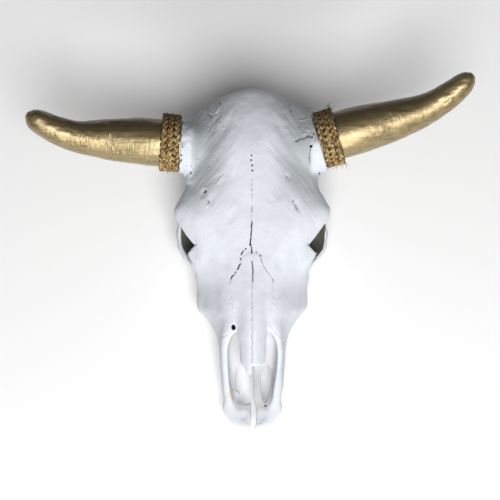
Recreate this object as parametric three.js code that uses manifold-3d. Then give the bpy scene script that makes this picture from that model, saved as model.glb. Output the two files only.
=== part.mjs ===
// A cow's skull at life size, without its lower jaw, lying face up as it rests on a floor.
// The bone is painted white, the horns are gold, and a jute rope is wound round each horn's root.
//
// The skull is described in its own face frame, in millimetres: x to the viewer's right, y along the
// face from the muzzle up to the poll, z out of the face. Left and right are the viewer's. The whole
// is then tilted so that it rests on its cheek teeth and on the two processes beside the neck joint.
import * as THREE from "three";
import { mergeVertices } from "three/addons/utils/BufferGeometryUtils.js";
import Module from "manifold-3d";

const wasm = await Module();
wasm.setup();

// Driving dimensions
const POLL_Y = 248;
const MUZZLE_Y = -247;
const REST_TILT = THREE.MathUtils.degToRad(13.8);
const FLOOR_DEPTH = 143;
const GAP = 0.3;
const FAR = 400;

// Paint and fibre
const bonePaint = new THREE.MeshStandardMaterial({ color: 0xdfe1e8, roughness: 0.55 });
const goldPaint = new THREE.MeshStandardMaterial({ color: 0xa98f52, roughness: 0.35, metalness: 0.8 });
const juteFibre = new THREE.MeshStandardMaterial({ color: 0x9a7a45, roughness: 0.95 });

// Smooth fields: negative inside the bone, and two of them flow into each other over a width k
function join(a, b, k) {
  const h = Math.max(k - Math.abs(a - b), 0) / k;
  return Math.min(a, b) - (h * h * k) / 4;
}
const overlap = (a, b, k) => -join(-a, -b, k);
const carve = (a, b, k) => -join(-a, b, k);

function ellipsoid(x, y, z, [cx, cy, cz], [rx, ry, rz]) {
  const u = (x - cx) / rx;
  const v = (y - cy) / ry;
  const w = (z - cz) / rz;
  const near = Math.hypot(u, v, w);
  const slope = Math.hypot(u / rx, v / ry, w / rz);
  return slope < 1e-9 ? -Math.min(rx, ry, rz) : (near * (near - 1)) / slope;
}

// A round bar from a to b whose radius goes from ra to rb
function bar(x, y, z, a, b, ra, rb) {
  const d = [b[0] - a[0], b[1] - a[1], b[2] - a[2]];
  const p = [x - a[0], y - a[1], z - a[2]];
  const along = (p[0] * d[0] + p[1] * d[1] + p[2] * d[2]) / (d[0] ** 2 + d[1] ** 2 + d[2] ** 2);
  const t = THREE.MathUtils.clamp(along, 0, 1);
  return Math.hypot(p[0] - d[0] * t, p[1] - d[1] * t, p[2] - d[2] * t) - ra - (rb - ra) * t;
}

// A smooth size along the skull, through a few stations [y, size] in rising order
function profile(...stations) {
  const last = stations.length - 1;
  const slope = stations.map((_, i) => {
    const [y0, v0] = stations[Math.max(i - 1, 0)];
    const [y1, v1] = stations[Math.min(i + 1, last)];
    return (v1 - v0) / (y1 - y0);
  });
  return (y) => {
    if (y <= stations[0][0]) return stations[0][1];
    if (y >= stations[last][0]) return stations[last][1];
    const i = stations.findIndex(([station]) => station > y) - 1;
    const [y0, v0] = stations[i];
    const [y1, v1] = stations[i + 1];
    const step = y1 - y0;
    const t = (y - y0) / step;
    const rise = v1 - v0;
    const bend = t * (1 - t) * ((1 - t) * (slope[i] * step - rise) - t * (slope[i + 1] * step - rise));
    return v0 + rise * t + bend;
  };
}

// Distance past an outline that is width(y) away from the midline, eased where the outline slants
function pastOutline(across, y, width) {
  const lean = (width(y + 1) - width(y - 1)) / 2;
  return (across - width(y)) / Math.hypot(1, lean);
}

// The forehead: flat between the eyes, narrowing to a ridge that ends in the domed poll
const ridge = profile(
  [-170, -9], [-130, -2], [-90, 1], [-25, -3], [60, 4], [150, 5], [185, 0], [215, -13], [POLL_Y, -38],
);
const browWidth = profile(
  [-45, 30], [-20, 46], [0, 64], [16, 78], [47, 102], [70, 113], [88, 105], [106, 96], [130, 96], [155, 97],
  [180, 95], [195, 90], [208, 82], [226, 64], [237, 50], [243, 37], [POLL_Y, 14],
);
const flatWidth = profile([-45, 0], [0, 24], [60, 66], [90, 66], [150, 36], [200, 16], [POLL_Y, 8]);
const browDrop = profile(
  [-45, 24], [16, 24], [68, 27], [106, 28], [150, 36], [190, 46], [220, 44], [POLL_Y, 24],
);
const browRound = profile([100, 10], [200, 26]);
const POLL = { at: [0, 170, -56], size: [88, 66, 42] };

function browTop(x, y) {
  const flat = flatWidth(y);
  const across = THREE.MathUtils.clamp((x - flat) / (browWidth(y) - flat), 0, 1.2);
  return ridge(y) - browDrop(y) * across ** 1.7;
}

function forehead(x, y, z) {
  const under = ridge(y) - browDrop(y) - 16;
  let plate = overlap(pastOutline(x, y, browWidth), z - browTop(x, y), browRound(y));
  plate = overlap(plate, under - z, 12);
  plate = overlap(plate, Math.max(-45 - y, y - POLL_Y), 12);
  return join(plate, ellipsoid(x, y, z, POLL.at, POLL.size), 26);
}

// The edge of the brow, which overhangs the eye socket
const BROW_EDGE = { below: 1.6, thick: 8, from: 8, to: 66 };

function browShelf(x, y, z) {
  const top = browTop(x, y) - BROW_EDGE.below;
  const plate = overlap(pastOutline(x, y, browWidth), z - top, 4);
  const ends = Math.max(BROW_EDGE.from - y, y - BROW_EDGE.to);
  return overlap(overlap(plate, top - BROW_EDGE.thick - z, 3), ends, 6);
}

// The braincase, the back of the head and the base of the skull
const BRAINCASE = { at: [0, 140, -88], size: [70, 88, 60] };
const OCCIPUT = { at: [0, 192, -88], size: [98, 27, 66] };
const BULLA = { at: [44, 142, -148], size: [15, 20, 20] };
const CONDYLE = { at: [29, 204, -160], size: [19, 17, 21] };
const NECK_PROCESS = { root: [62, 188, -130], tip: [58, 182, -190], thick: 14, thin: 7 };
const BASE_BAR = { back: [0, 192, -148], front: [0, 70, -128], thick: 21, thin: 17 };
const SPINAL_HOLE = { at: [0, 218, -140], size: [17, 28, 16] };
const TEMPLE_HOLLOW = { at: [108, 118, -68], size: [36, 46, 25] };
const JAW_HOLLOW = { at: [76, 88, -128], size: [32, 42, 36] };

function braincase(x, y, z) {
  const { back, front, thick, thin } = BASE_BAR;
  let d = join(forehead(x, y, z), ellipsoid(x, y, z, BRAINCASE.at, BRAINCASE.size), 20);
  d = join(d, ellipsoid(x, y, z, OCCIPUT.at, OCCIPUT.size), 22);
  d = join(d, bar(x, y, z, back, front, thick, thin), 12);
  d = carve(d, ellipsoid(x, y, z, TEMPLE_HOLLOW.at, TEMPLE_HOLLOW.size), 12);
  d = carve(d, ellipsoid(x, y, z, JAW_HOLLOW.at, JAW_HOLLOW.size), 12);
  d = join(d, ellipsoid(x, y, z, BULLA.at, BULLA.size), 8);
  d = join(d, bar(x, y, z, NECK_PROCESS.root, NECK_PROCESS.tip, NECK_PROCESS.thick, NECK_PROCESS.thin), 12);
  d = join(d, ellipsoid(x, y, z, CONDYLE.at, CONDYLE.size), 9);
  return carve(d, ellipsoid(x, y, z, SPINAL_HOLE.at, SPINAL_HOLE.size), 5);
}

// The eye socket under the brow, which looks outwards and a little forwards, and the tear bone below it
const SOCKET = { at: [84.5, 27, -50], axis: [0.857, -0.299, 0.419], rim: 35.5, rimThick: 7.5 };
const TEAR_BONE = { at: [71, 4, -50], size: [21, 18, 21], above: [21, 18, 70] };

function alongSocket(distance) {
  return SOCKET.at.map((c, i) => c + SOCKET.axis[i] * distance);
}

function socketRim(x, y, z) {
  const p = [x, y, z].map((c, i) => c - SOCKET.at[i]);
  const out = p[0] * SOCKET.axis[0] + p[1] * SOCKET.axis[1] + p[2] * SOCKET.axis[2];
  const away = Math.sqrt(Math.max(p[0] ** 2 + p[1] ** 2 + p[2] ** 2 - out ** 2, 0));
  return Math.hypot(away - SOCKET.rim, out) - SOCKET.rimThick;
}

function socketHollow(x, y, z) {
  const mouth = bar(x, y, z, alongSocket(24), alongSocket(-6), 30, 33);
  const d = join(mouth, bar(x, y, z, alongSocket(-6), alongSocket(-30), 33, 20), 6);
  const underBrow = overlap(d, browWidth(y) - 10 + Math.min(z + 45, 0) - x, 6);
  return carve(underBrow, ellipsoid(x, y, z, TEAR_BONE.at, TEAR_BONE.above), 3);
}

// The cheek arch, from the socket's lower rim back to the ear
const ARCH = [
  [83, -2, -84], [95, 16, -85], [99, 40, -87], [97, 66, -89], [86, 96, -93], [80, 122, -97], [72, 144, -98],
];
const ARCH_THICK = 10;
const JAW_JOINT = { at: [74, 142, -100], size: [25, 18, 12] };

function cheekArch(x, y, z) {
  let d = ellipsoid(x, y, z, JAW_JOINT.at, JAW_JOINT.size);
  for (let i = 1; i < ARCH.length; i++) {
    d = join(d, bar(x, y, z, ARCH[i - 1], ARCH[i], ARCH_THICK, ARCH_THICK), 8);
  }
  return d;
}

// The upper jaw: a roof-like section that slants from the nose to the cheek and turns in to the teeth,
// and runs on into the muzzle
const jawTop = profile(
  [MUZZLE_Y, -49], [-220, -52], [-198, -48], [-172, -40], [-140, -30], [-115, -19], [-95, -7], [-80, -3],
  [-45, -6], [-25, -10], [0, -18], [25, -26], [50, -32],
);
const roofWidth = profile(
  [MUZZLE_Y, 8], [-235, 26], [-215, 37], [-190, 38], [-160, 40], [-128, 41], [-108, 34], [-95, 29], [-80, 29],
  [-50, 32], [-28, 38], [0, 54], [20, 66], [50, 72],
);
const roofRound = profile([-130, 6], [-95, 12], [-60, 16]);
const cheekWidth = profile(
  [MUZZLE_Y, 10], [-245, 20], [-241, 28], [-232, 36], [-223, 42.4], [-214.5, 44], [-205, 41.7], [-187, 44.8],
  [-160, 47.2], [-123, 49.8], [-106, 54.4], [-89, 63], [-78, 72], [-66, 77.5], [-47, 78.5], [-20, 80.5],
  [0, 83], [40, 85],
);
const cheekDepth = profile(
  [MUZZLE_Y, -53], [-214, -58], [-187, -58], [-150, -62], [-123, -64], [-89, -72], [-60, -82], [0, -82],
  [50, -90],
);
const gumWidth = profile(
  [MUZZLE_Y, 6], [-241, 24], [-223, 38], [-205, 38], [-150, 38], [-120, 40], [-95, 52], [-60, 60], [0, 66],
  [45, 62],
);
const gumDepth = profile(
  [MUZZLE_Y, -58], [-214, -64], [-160, -74], [-125, -81], [-105, -91], [-60, -105], [0, -120], [40, -128],
);
const palateWidth = profile([-150, 20], [-100, 28], [-60, 34], [40, 38]);
const palateVault = profile([-165, -8], [-135, 10], [-100, 15]);
const CHEEK_KNOB = { at: [69, -62, -84], size: [10, 16, 11] };
const UPPER_JAW_BACK = 46;

function upperJaw(x, y, z) {
  const top = jawTop(y);
  const middle = cheekDepth(y);
  const bottom = gumDepth(y);
  const down = THREE.MathUtils.clamp((top - z) / (top - middle), 0, 1) ** 0.85;
  const under = THREE.MathUtils.clamp((middle - z) / (middle - bottom), 0, 1) ** 2;
  const width =
    roofWidth(y) + (cheekWidth(y) - roofWidth(y)) * down + (gumWidth(y) - cheekWidth(y)) * under;
  let d = overlap((x - width) * 0.75, z - top, roofRound(y));
  d = overlap(d, bottom - z, 7);
  d = overlap(d, Math.max(MUZZLE_Y - y, y - UPPER_JAW_BACK), 6);
  d = join(d, ellipsoid(x, y, z, CHEEK_KNOB.at, CHEEK_KNOB.size), 10);
  const vault = overlap(x - palateWidth(y), z - bottom - palateVault(y), 10);
  return carve(d, vault, 6);
}

// The nasal cavity, open above beside the nose bones, with the palate for its floor
const cavityWidth = profile(
  [-232, 10], [-222, 22], [-208, 28], [-190, 31], [-170, 33.5], [-128, 35], [-112, 30.5], [-102, 22], [-94, 8],
);
const cavityFloor = profile(
  [-232, -48], [-214, -56], [-190, -60], [-160, -65], [-130, -56], [-105, -45], [-92, -38],
);
const CAVITY_BACK = -92;

function nasalCavity(x, y, z) {
  const sides = overlap(pastOutline(x, y, cavityWidth), cavityFloor(y) - z, 12);
  return overlap(sides, y - CAVITY_BACK, 8);
}

// The slots through the palate: the left one has lost the rod of bone that still edges the right one
const slotWidth = {
  left: profile(
    [-212, 5], [-208, 9], [-202, 11], [-194, 12.8], [-180, 13], [-168, 12.5], [-160, 10], [-154, 4],
  ),
  right: profile([-209, 0.5], [-203, 3.5], [-192, 6.6], [-180, 8], [-166, 7.5], [-160, 6], [-155, 2]),
};
const SLOT_MIDDLE = { left: -10.7, right: 20, lean: 0.06 };
const SLOT_ENDS = [-211, -153];
const LOST_ROD = { x: [-12, 2.2], y: [-209, -150] };
const splitMiddle = profile([MUZZLE_Y, 0.6], [-232, 2.2], [-212, 1.2], [-200, 1]);
const splitWidth = profile([MUZZLE_Y, 2.9], [-232, 3.9], [-214, 3.4], [-200, 1.2]);

function palateSlots(px, y) {
  const left = Math.abs(px - SLOT_MIDDLE.left) - slotWidth.left(y);
  const right = Math.abs(px - SLOT_MIDDLE.right - (y + 180) * SLOT_MIDDLE.lean) - slotWidth.right(y);
  const slots = overlap(Math.min(left, right), Math.max(SLOT_ENDS[0] - y, y - SLOT_ENDS[1]), 4);
  const lost = Math.max(LOST_ROD.x[0] - px, px - LOST_ROD.x[1], LOST_ROD.y[0] - y, y - LOST_ROD.y[1]);
  const split = overlap(Math.abs(px - splitMiddle(y)) - splitWidth(y), y + 200, 3);
  return Math.min(slots, lost, split);
}

// The horn cores, which the plaster round the horns thickens; the right one climbs up the poll
function hornCores(px, y, z) {
  let left = bar(px, y, z, [-62, 163, -40], [-120, 167, -33], 34, 35);
  left = join(left, bar(px, y, z, [-88, 163, -35], [-120, 164, -34], 37.5, 37.5), 8);
  let right = bar(px, y, z, [62, 163, -40], [120, 174, -32], 35, 37);
  right = join(right, bar(px, y, z, [46, 186, -58], [96, 176, -42], 42, 40), 12);
  right = join(right, bar(px, y, z, [90, 165, -35], [120, 170, -34], 39, 39), 8);
  return Math.min(left, right);
}

// The whole skull, before it is parted into its bones
const WING_PLATE = { at: [27, 66, -120], size: [7, 40, 22] };
const THROAT = { at: [0, 62, -122], size: [18, 36, 14] };

function skull(px, y, z) {
  const x = Math.abs(px);
  let d = join(braincase(x, y, z), carve(upperJaw(x, y, z), nasalCavity(x, y, z), 4), 20);
  d = carve(d, palateSlots(px, y), 2);
  d = join(d, ellipsoid(x, y, z, WING_PLATE.at, WING_PLATE.size), 8);
  d = carve(d, ellipsoid(x, y, z, THROAT.at, THROAT.size), 6);
  d = join(d, cheekArch(x, y, z), 10);
  d = join(d, socketRim(x, y, z), 10);
  d = join(d, ellipsoid(x, y, z, TEAR_BONE.at, TEAR_BONE.size), 10);
  d = carve(d, socketHollow(x, y, z), 2);
  d = join(d, browShelf(x, y, z), 2);
  return join(d, hornCores(px, y, z), 14);
}

// The nose bones: two arched plates side by side, the left one longer and tongue-shaped at its tip
const noseWidth = {
  left: profile(
    [-163, 2], [-162, 5], [-160, 7.5], [-157, 9], [-153, 10.2], [-151.5, 12], [-149.5, 14.5], [-146, 16.5],
    [-115, 19], [-90, 24], [-60, 28.5], [-30, 31], [-18, 22], [-8, 15], [3, 12], [8, 5],
  ),
  right: profile(
    [-151, 5], [-150, 11], [-148, 15], [-144, 18], [-115, 20.5], [-90, 25], [-60, 28.5], [-30, 31.5],
    [-18, 22], [-8, 16], [3, 13], [8, 5],
  ),
};
const NOSE_ENDS = { left: [-163, 8], right: [-151, 8] };
const NOSE = { thick: 5.5, groove: 1.2, grooveWidth: 3, across: [0, 0.25, 0.5, 0.75, 0.93, 1], edge: 1.4 };
const NOSE_STATIONS = [
  0, 0.02, 0.05, 0.08, 0.12, 0.2, 0.3, 0.4, 0.5, 0.6, 0.7, 0.77, 0.83, 0.87, 0.91, 0.95, 1,
];
const noseArch = profile([-160, 14], [-100, 10], [-30, 6.5], [8, 6]);
const noseRise = profile([-160, 2], [-60, 2], [8, 0.5]);

function noseTop(x, y) {
  const groove = NOSE.groove * Math.exp(-((x / NOSE.grooveWidth) ** 2));
  return ridge(y) + noseRise(y) - noseArch(y) * (x / 24) ** 2.2 - groove;
}

// One section of a nose bone, or of the bed it lies in when it is grown and given a flat roof
function noseSection(name, y, growth, roof) {
  const inner = GAP / 2 - 2 * growth;
  const outer = noseWidth[name](y) + growth;
  const top = NOSE.across.map((share) => {
    const x = inner + (outer - inner) * share;
    return [x, roof ?? noseTop(x, y) - (share === 1 ? NOSE.edge : 0)];
  });
  const under = top.map(([x]) => [x, noseTop(Math.max(x, 0), y) - NOSE.thick - growth]).reverse();
  const side = name === "left" ? -1 : 1;
  const points = [...top, ...under].map(([x, z]) => new THREE.Vector3(side * x, y, z));
  return side < 0 ? points.reverse() : points;
}

function noseBone(name, growth = 0, roof = undefined) {
  const [tip, root] = NOSE_ENDS[name];
  const sections = NOSE_STATIONS.map((share) => {
    const y = tip - growth + (root - tip + 2 * growth) * share;
    return noseSection(name, y, growth, roof);
  });
  return lofted(sections);
}

// Solids from fields: one vertex for each grid cell that the surface crosses, moved onto the surface
function solid(geometry) {
  const bare = new THREE.BufferGeometry().setAttribute("position", geometry.getAttribute("position"));
  const merged = mergeVertices(bare.setIndex(geometry.index), 1e-4);
  return new wasm.Manifold(
    new wasm.Mesh({
      numProp: 3,
      vertProperties: merged.attributes.position.array,
      triVerts: new Uint32Array(merged.index.array),
    }),
  );
}

function settle(point, field, reach) {
  for (let turn = 0; turn < 3; turn++) {
    const value = field(...point);
    const step = 0.2;
    const slope = point.map((_, i) => {
      const ahead = point.map((c, j) => c + (i === j ? step : 0));
      return (field(...ahead) - value) / step;
    });
    const steep = slope.reduce((sum, s) => sum + s * s, 0);
    if (steep < 1e-6) return;
    const move = THREE.MathUtils.clamp(value / steep, -reach, reach);
    slope.forEach((s, i) => (point[i] -= s * move));
  }
}

// Grid points are filled where the surface would touch itself along an edge or at a corner
function fillTouching(value, count, stride) {
  const inside = (at) => value[at] < 0;
  const fillNearest = (...spots) => {
    const outside = spots.filter((at) => !inside(at));
    const nearest = outside.reduce((least, at) => (value[at] < value[least] ? at : least));
    value[nearest] = -0.02;
  };
  let filled = true;
  const look = (base) => {
    for (const [u, v] of [[stride[0], stride[1]], [stride[1], stride[2]], [stride[2], stride[0]]]) {
      const [a, b, c, d] = [base, base + u, base + u + v, base + v];
      if (inside(a) === inside(c) && inside(b) === inside(d) && inside(a) !== inside(b)) {
        fillNearest(a, b, c, d);
        filled = true;
      }
    }
    const cube = [0, 1, 2, 3, 4, 5, 6, 7].map(
      (n) => base + (n & 1) * stride[0] + ((n >> 1) & 1) * stride[1] + (n >> 2) * stride[2],
    );
    const within = cube.filter(inside).length;
    if (within !== 2 && within !== 6) return;
    const isPair = (n) => inside(cube[n]) === (within === 2) && inside(cube[7 - n]) === (within === 2);
    if ([0, 1, 2, 3].some(isPair)) {
      fillNearest(...cube);
      filled = true;
    }
  };
  while (filled) {
    filled = false;
    for (let k = 0; k < count[2] - 1; k++)
      for (let j = 0; j < count[1] - 1; j++)
        for (let i = 0; i < count[0] - 1; i++) look(i + j * stride[1] + k * stride[2]);
  }
}

function netted(open, low, high, cell) {
  const count = low.map((start, i) => Math.ceil((high[i] - start) / cell[i]) + 1);
  const stride = [1, count[0], count[0] * count[1]];
  const place = (i, axis) => low[axis] + i * cell[axis];
  const pastGrid = (c, axis) => Math.max(place(1.5, axis) - c, c - place(count[axis] - 1.5, axis));
  const field = (x, y, z) => Math.max(open(x, y, z), pastGrid(x, 0), pastGrid(y, 1), pastGrid(z, 2));
  const value = new Float64Array(count[0] * count[1] * count[2]);
  for (let k = 0; k < count[2]; k++)
    for (let j = 0; j < count[1]; j++)
      for (let i = 0; i < count[0]; i++)
        value[i + j * stride[1] + k * stride[2]] = field(place(i, 0), place(j, 1), place(k, 2));

  const corners = [0, 1, 2, 3, 4, 5, 6, 7].map((n) => [n & 1, (n >> 1) & 1, n >> 2]);
  fillTouching(value, count, stride);
  const edges = corners.flatMap((a, n) =>
    [1, 2, 4].filter((bit) => !(n & bit)).map((bit) => [a, corners[n | bit]]),
  );
  const vertexOf = new Map();
  const positions = [];
  const at = (c) => c[0] + c[1] * stride[1] + c[2] * stride[2];
  for (let k = 0; k < count[2] - 1; k++)
    for (let j = 0; j < count[1] - 1; j++)
      for (let i = 0; i < count[0] - 1; i++) {
        const base = at([i, j, k]);
        const sum = [0, 0, 0];
        let crossings = 0;
        for (const [a, b] of edges) {
          const va = value[base + at(a)];
          const vb = value[base + at(b)];
          if (va < 0 === vb < 0) continue;
          const t = va / (va - vb);
          [i, j, k].forEach((n, axis) => (sum[axis] += place(n + a[axis] + (b[axis] - a[axis]) * t, axis)));
          crossings++;
        }
        if (!crossings) continue;
        const point = sum.map((s) => s / crossings);
        settle(point, field, Math.min(...cell) * 0.3);
        vertexOf.set(base, positions.length / 3);
        positions.push(...point);
      }

  const index = [];
  for (let k = 1; k < count[2] - 1; k++)
    for (let j = 1; j < count[1] - 1; j++)
      for (let i = 1; i < count[0] - 1; i++) {
        const base = at([i, j, k]);
        for (let axis = 0; axis < 3; axis++) {
          const inside = value[base] < 0;
          if (inside === value[base + stride[axis]] < 0) continue;
          const u = stride[(axis + 1) % 3];
          const v = stride[(axis + 2) % 3];
          const ring = [base, base - u, base - u - v, base - v].map((cellAt) => vertexOf.get(cellAt));
          const [a, b, c, d] = inside ? ring : ring.reverse();
          index.push(a, b, c, a, c, d);
        }
      }
  const geometry = new THREE.BufferGeometry();
  geometry.setAttribute("position", new THREE.Float32BufferAttribute(positions, 3));
  geometry.setIndex(index);
  return solid(geometry);
}

// Outlines seen from the side, as [y, z], extruded across the skull from one x to another
const ACROSS = new THREE.Matrix4().makeBasis(
  new THREE.Vector3(0, 1, 0),
  new THREE.Vector3(0, 0, 1),
  new THREE.Vector3(1, 0, 0),
);

function acrossSkull(outline, from, to) {
  const shape = new THREE.Shape(outline.map(([y, z]) => new THREE.Vector2(y, z)));
  const block = new THREE.ExtrudeGeometry(shape, { depth: to - from, bevelEnabled: false });
  return solid(block.translate(0, 0, from).applyMatrix4(ACROSS));
}

// The outline with each side moved outwards by a distance, or inwards by a negative one
function grown(outline, distance) {
  const turn = Math.sign(THREE.ShapeUtils.area(outline.map(([y, z]) => new THREE.Vector2(y, z))));
  const normals = outline.map((point, i) => {
    const next = outline[(i + 1) % outline.length];
    const side = new THREE.Vector2(next[0] - point[0], next[1] - point[1]).normalize();
    return new THREE.Vector2(side.y, -side.x).multiplyScalar(turn);
  });
  return outline.map((point, i) => {
    const before = normals[(i + outline.length - 1) % outline.length];
    const mean = before.clone().add(normals[i]);
    mean.multiplyScalar(distance / (1 + before.dot(normals[i])));
    return [point[0] + mean.x, point[1] + mean.y];
  });
}

// The seams between the bones
const ABOVE = 60;
const BELOW = -230;
const BROW_SEAM = [[-31, ABOVE], [-29, -8], [6, -45], [48, -76], [62, -104], [58, BELOW]];
const MUZZLE_SEAM = [[-98, ABOVE], [-100, -12], [-126, -46], [-158, -76], [-160, BELOW]];
const CRANIUM_SIDE = [...BROW_SEAM, [FAR, BELOW], [FAR, ABOVE]];
const JAW_SIDE = [...MUZZLE_SEAM, ...BROW_SEAM.toReversed()];
const MUZZLE_SIDE = [...MUZZLE_SEAM, [-FAR, BELOW], [-FAR, ABOVE]];
const CHEEKBONE_SIDE = [
  [-50, -66], [-12, -56], [14, -60], [40, -58], [47, -38], [82, -38], [90, -66], [90, -112], [30, -106],
  [-20, -99], [-52, -88],
];
const CHEEKBONE_INNER = 60;

const sideRange = (side, from) => (side < 0 ? [-FAR, -from] : [from, FAR]);

function cheekboneBlock(side, growth) {
  return acrossSkull(grown(CHEEKBONE_SIDE, growth), ...sideRange(side, CHEEKBONE_INNER - growth));
}

// Where the skull rests: the floor, seen from the tilted face frame
const toRest = new THREE.Matrix4().makeRotationX(REST_TILT);
toRest.premultiply(new THREE.Matrix4().makeTranslation(0, 0, FLOOR_DEPTH * Math.cos(REST_TILT)));
const toFace = toRest.clone().invert();
const UNDER_FLOOR = 100;
const underFloor = solid(
  new THREE.BoxGeometry(2 * FAR, 2 * FAR, UNDER_FLOOR).translate(0, 0, -UNDER_FLOOR / 2).applyMatrix4(toFace),
);

// The cheek teeth: three of one lobe and three of two lobes on each side, worn flat on the floor
const TEETH = {
  lengths: [16, 19, 20, 24, 27, 28],
  widths: [15, 18, 20, 22, 22, 20],
  firstY: -99,
  inset: 14,
  root: 14,
  sides: 8,
  taper: 1.12,
};

function toothRow(side) {
  const along = new THREE.Vector3(0, TEETH.firstY, -FLOOR_DEPTH).applyMatrix4(toRest);
  let row = null;
  let start = along.y;
  TEETH.lengths.forEach((length, i) => {
    const lobes = i < 3 ? 1 : 2;
    for (let lobe = 0; lobe < lobes; lobe++) {
      const middle = new THREE.Vector3(0, start + (length * (lobe + 0.5)) / lobes, 0);
      const y = middle.clone().applyMatrix4(toFace).y;
      const gum = new THREE.Vector3(0, y, gumDepth(y)).applyMatrix4(toRest).z;
      const height = gum + TEETH.root;
      const crown = new THREE.CylinderGeometry(TEETH.taper, 1, height, TEETH.sides).rotateX(Math.PI / 2);
      crown.scale(TEETH.widths[i] / 2, (length / lobes / 2) * 1.04, 1);
      crown.translate(side * (gumWidth(y) - TEETH.inset), middle.y, height / 2);
      const tooth = solid(crown.applyMatrix4(toFace));
      row = row ? row.add(tooth) : tooth;
    }
    start += length;
  });
  return row;
}

// A closed skin over a row of rings of points
function lofted(rings) {
  const sides = rings[0].length;
  const positions = rings.flat().flatMap((p) => p.toArray());
  const index = [];
  for (let i = 0; i < rings.length - 1; i++)
    for (let j = 0; j < sides; j++) {
      const next = (j + 1) % sides;
      const [a, b] = [i * sides + j, i * sides + next];
      index.push(a, b, b + sides, a, b + sides, a + sides);
    }
  [rings[0], rings.at(-1)].forEach((ring, end) => {
    const centre = positions.length / 3;
    const first = end * (rings.length - 1) * sides;
    const middle = ring.reduce((sum, p) => sum.add(p), new THREE.Vector3()).divideScalar(sides);
    positions.push(...middle.toArray());
    for (let j = 0; j < sides; j++) {
      const [a, b] = [first + j, first + ((j + 1) % sides)];
      index.push(centre, ...(end ? [a, b] : [b, a]));
    }
  });
  const geometry = new THREE.BufferGeometry();
  geometry.setAttribute("position", new THREE.Float32BufferAttribute(positions, 3));
  return geometry.setIndex(index);
}

function ring(centre, across, up, radius, sides) {
  return Array.from({ length: sides }, (_, j) => {
    const angle = (2 * Math.PI * j) / sides;
    return centre
      .clone()
      .addScaledVector(across, radius * Math.cos(angle))
      .addScaledVector(up, radius * Math.sin(angle));
  });
}

// The horns: they leave the head sideways, bend up and a little forwards, and end bluntly
const HORN_PATH = {
  left: [
    [-103, 168, -33], [-151, 170.8, -31], [-209, 173.5, -27], [-255, 178, -20], [-290, 189.5, -10],
    [-319, 206, 0],
  ],
  right: [
    [96.5, 171.5, -33], [146, 185.5, -30], [204, 201, -26], [250, 216.5, -19], [285, 238, -9], [312, 261.5, 2],
  ],
};
const hornRadius = profile(
  [0, 33.6], [0.08, 34], [0.17, 34.6], [0.27, 33.8], [0.48, 28.6], [0.69, 22], [0.855, 18.5], [0.94, 15.5],
  [0.985, 10.5], [1, 6],
);
const HORN_SIDES = 16;
const HORN_STEPS = 20;
const HORN_TIP_STEPS = [0.97, 0.985, 1];

const hornAxis = {
  left: new THREE.CatmullRomCurve3(HORN_PATH.left.map((p) => new THREE.Vector3(...p))),
  right: new THREE.CatmullRomCurve3(HORN_PATH.right.map((p) => new THREE.Vector3(...p))),
};

function frameAt(axis, t) {
  const along = axis.getTangentAt(t);
  const up = new THREE.Vector3(0, 0, 1).addScaledVector(along, -along.z).normalize();
  return { centre: axis.getPointAt(t), along, up, across: up.clone().cross(along) };
}

function horn(axis) {
  const even = Array.from({ length: HORN_STEPS }, (_, i) => (0.95 * i) / (HORN_STEPS - 1));
  const rings = [...even, ...HORN_TIP_STEPS].map((t) => {
    const { centre, across, up } = frameAt(axis, t);
    return ring(centre, across, up, hornRadius(t), HORN_SIDES);
  });
  return lofted(rings);
}

// What the horn's root takes off the head, so that the two meet face to face
const HORN_SOCKET = { radius: 62, depth: 60, sides: 24 };

function hornSocket(axis) {
  const { centre, along, across, up } = frameAt(axis, 0);
  const ends = [-GAP, HORN_SOCKET.depth].map((s) => centre.clone().addScaledVector(along, s));
  return solid(lofted(ends.map((end) => ring(end, across, up, HORN_SOCKET.radius, HORN_SOCKET.sides))));
}

// The rope: three turns round the horn's root that step outwards on the side away from the face
const ROPE = { radius: 4, turns: 3, pitch: 8.3, first: 4.6, sides: 6, stepsPerTurn: 18, stepShare: 0.22 };

function rope(axis) {
  const length = axis.getLength();
  const steps = ROPE.turns * ROPE.stepsPerTurn;
  const points = Array.from({ length: steps + 1 }, (_, i) => {
    const turn = i / ROPE.stepsPerTurn;
    const part = turn - Math.floor(turn);
    const shift = THREE.MathUtils.smoothstep(part, 1 - ROPE.stepShare, 1);
    const whole = Math.min(Math.floor(turn), ROPE.turns - 1);
    const along = ROPE.first + ROPE.pitch * (whole + (turn < ROPE.turns ? shift : 1));
    const { centre, across, up } = frameAt(axis, along / length);
    const angle = 2 * Math.PI * turn - Math.PI / 2;
    const away = (hornRadius(along / length) + GAP + ROPE.radius) / Math.cos(Math.PI / ROPE.stepsPerTurn);
    return centre.addScaledVector(across, away * Math.cos(angle)).addScaledVector(up, away * Math.sin(angle));
  });
  const path = new THREE.CatmullRomCurve3(points);
  const rings = points.map((point, i) => {
    const t = i / steps;
    const along = path.getTangent(t);
    const { centre } = frameAt(axis, 0);
    const out = point.clone().sub(centre);
    out.addScaledVector(along, -out.dot(along)).normalize();
    return ring(point, out, along.clone().cross(out), ROPE.radius, ROPE.sides);
  });
  return lofted(rings);
}

// The bones, each netted as finely as its forms need and cut to its own side of the seams
const CELL = {
  cranium: [11.2, 11.3, 10.9],
  jaw: [9.7, 11.3, 10.1],
  muzzle: [5, 6.6, 4.4],
  cheekbone: [7.7, 7.8, 7.2],
};

function largest(body) {
  return body.decompose().reduce((most, piece) => (piece.volume() > most.volume() ? piece : most));
}

function halves(side, from) {
  const [low, high] = sideRange(side, from);
  return acrossSkull([[-FAR, BELOW], [FAR, BELOW], [FAR, ABOVE], [-FAR, ABOVE]], low, high);
}

const noseBeds = solid(noseBone("left", GAP, ABOVE)).add(solid(noseBone("right", GAP, ABOVE)));
const sides = { left: -1, right: 1 };

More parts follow.
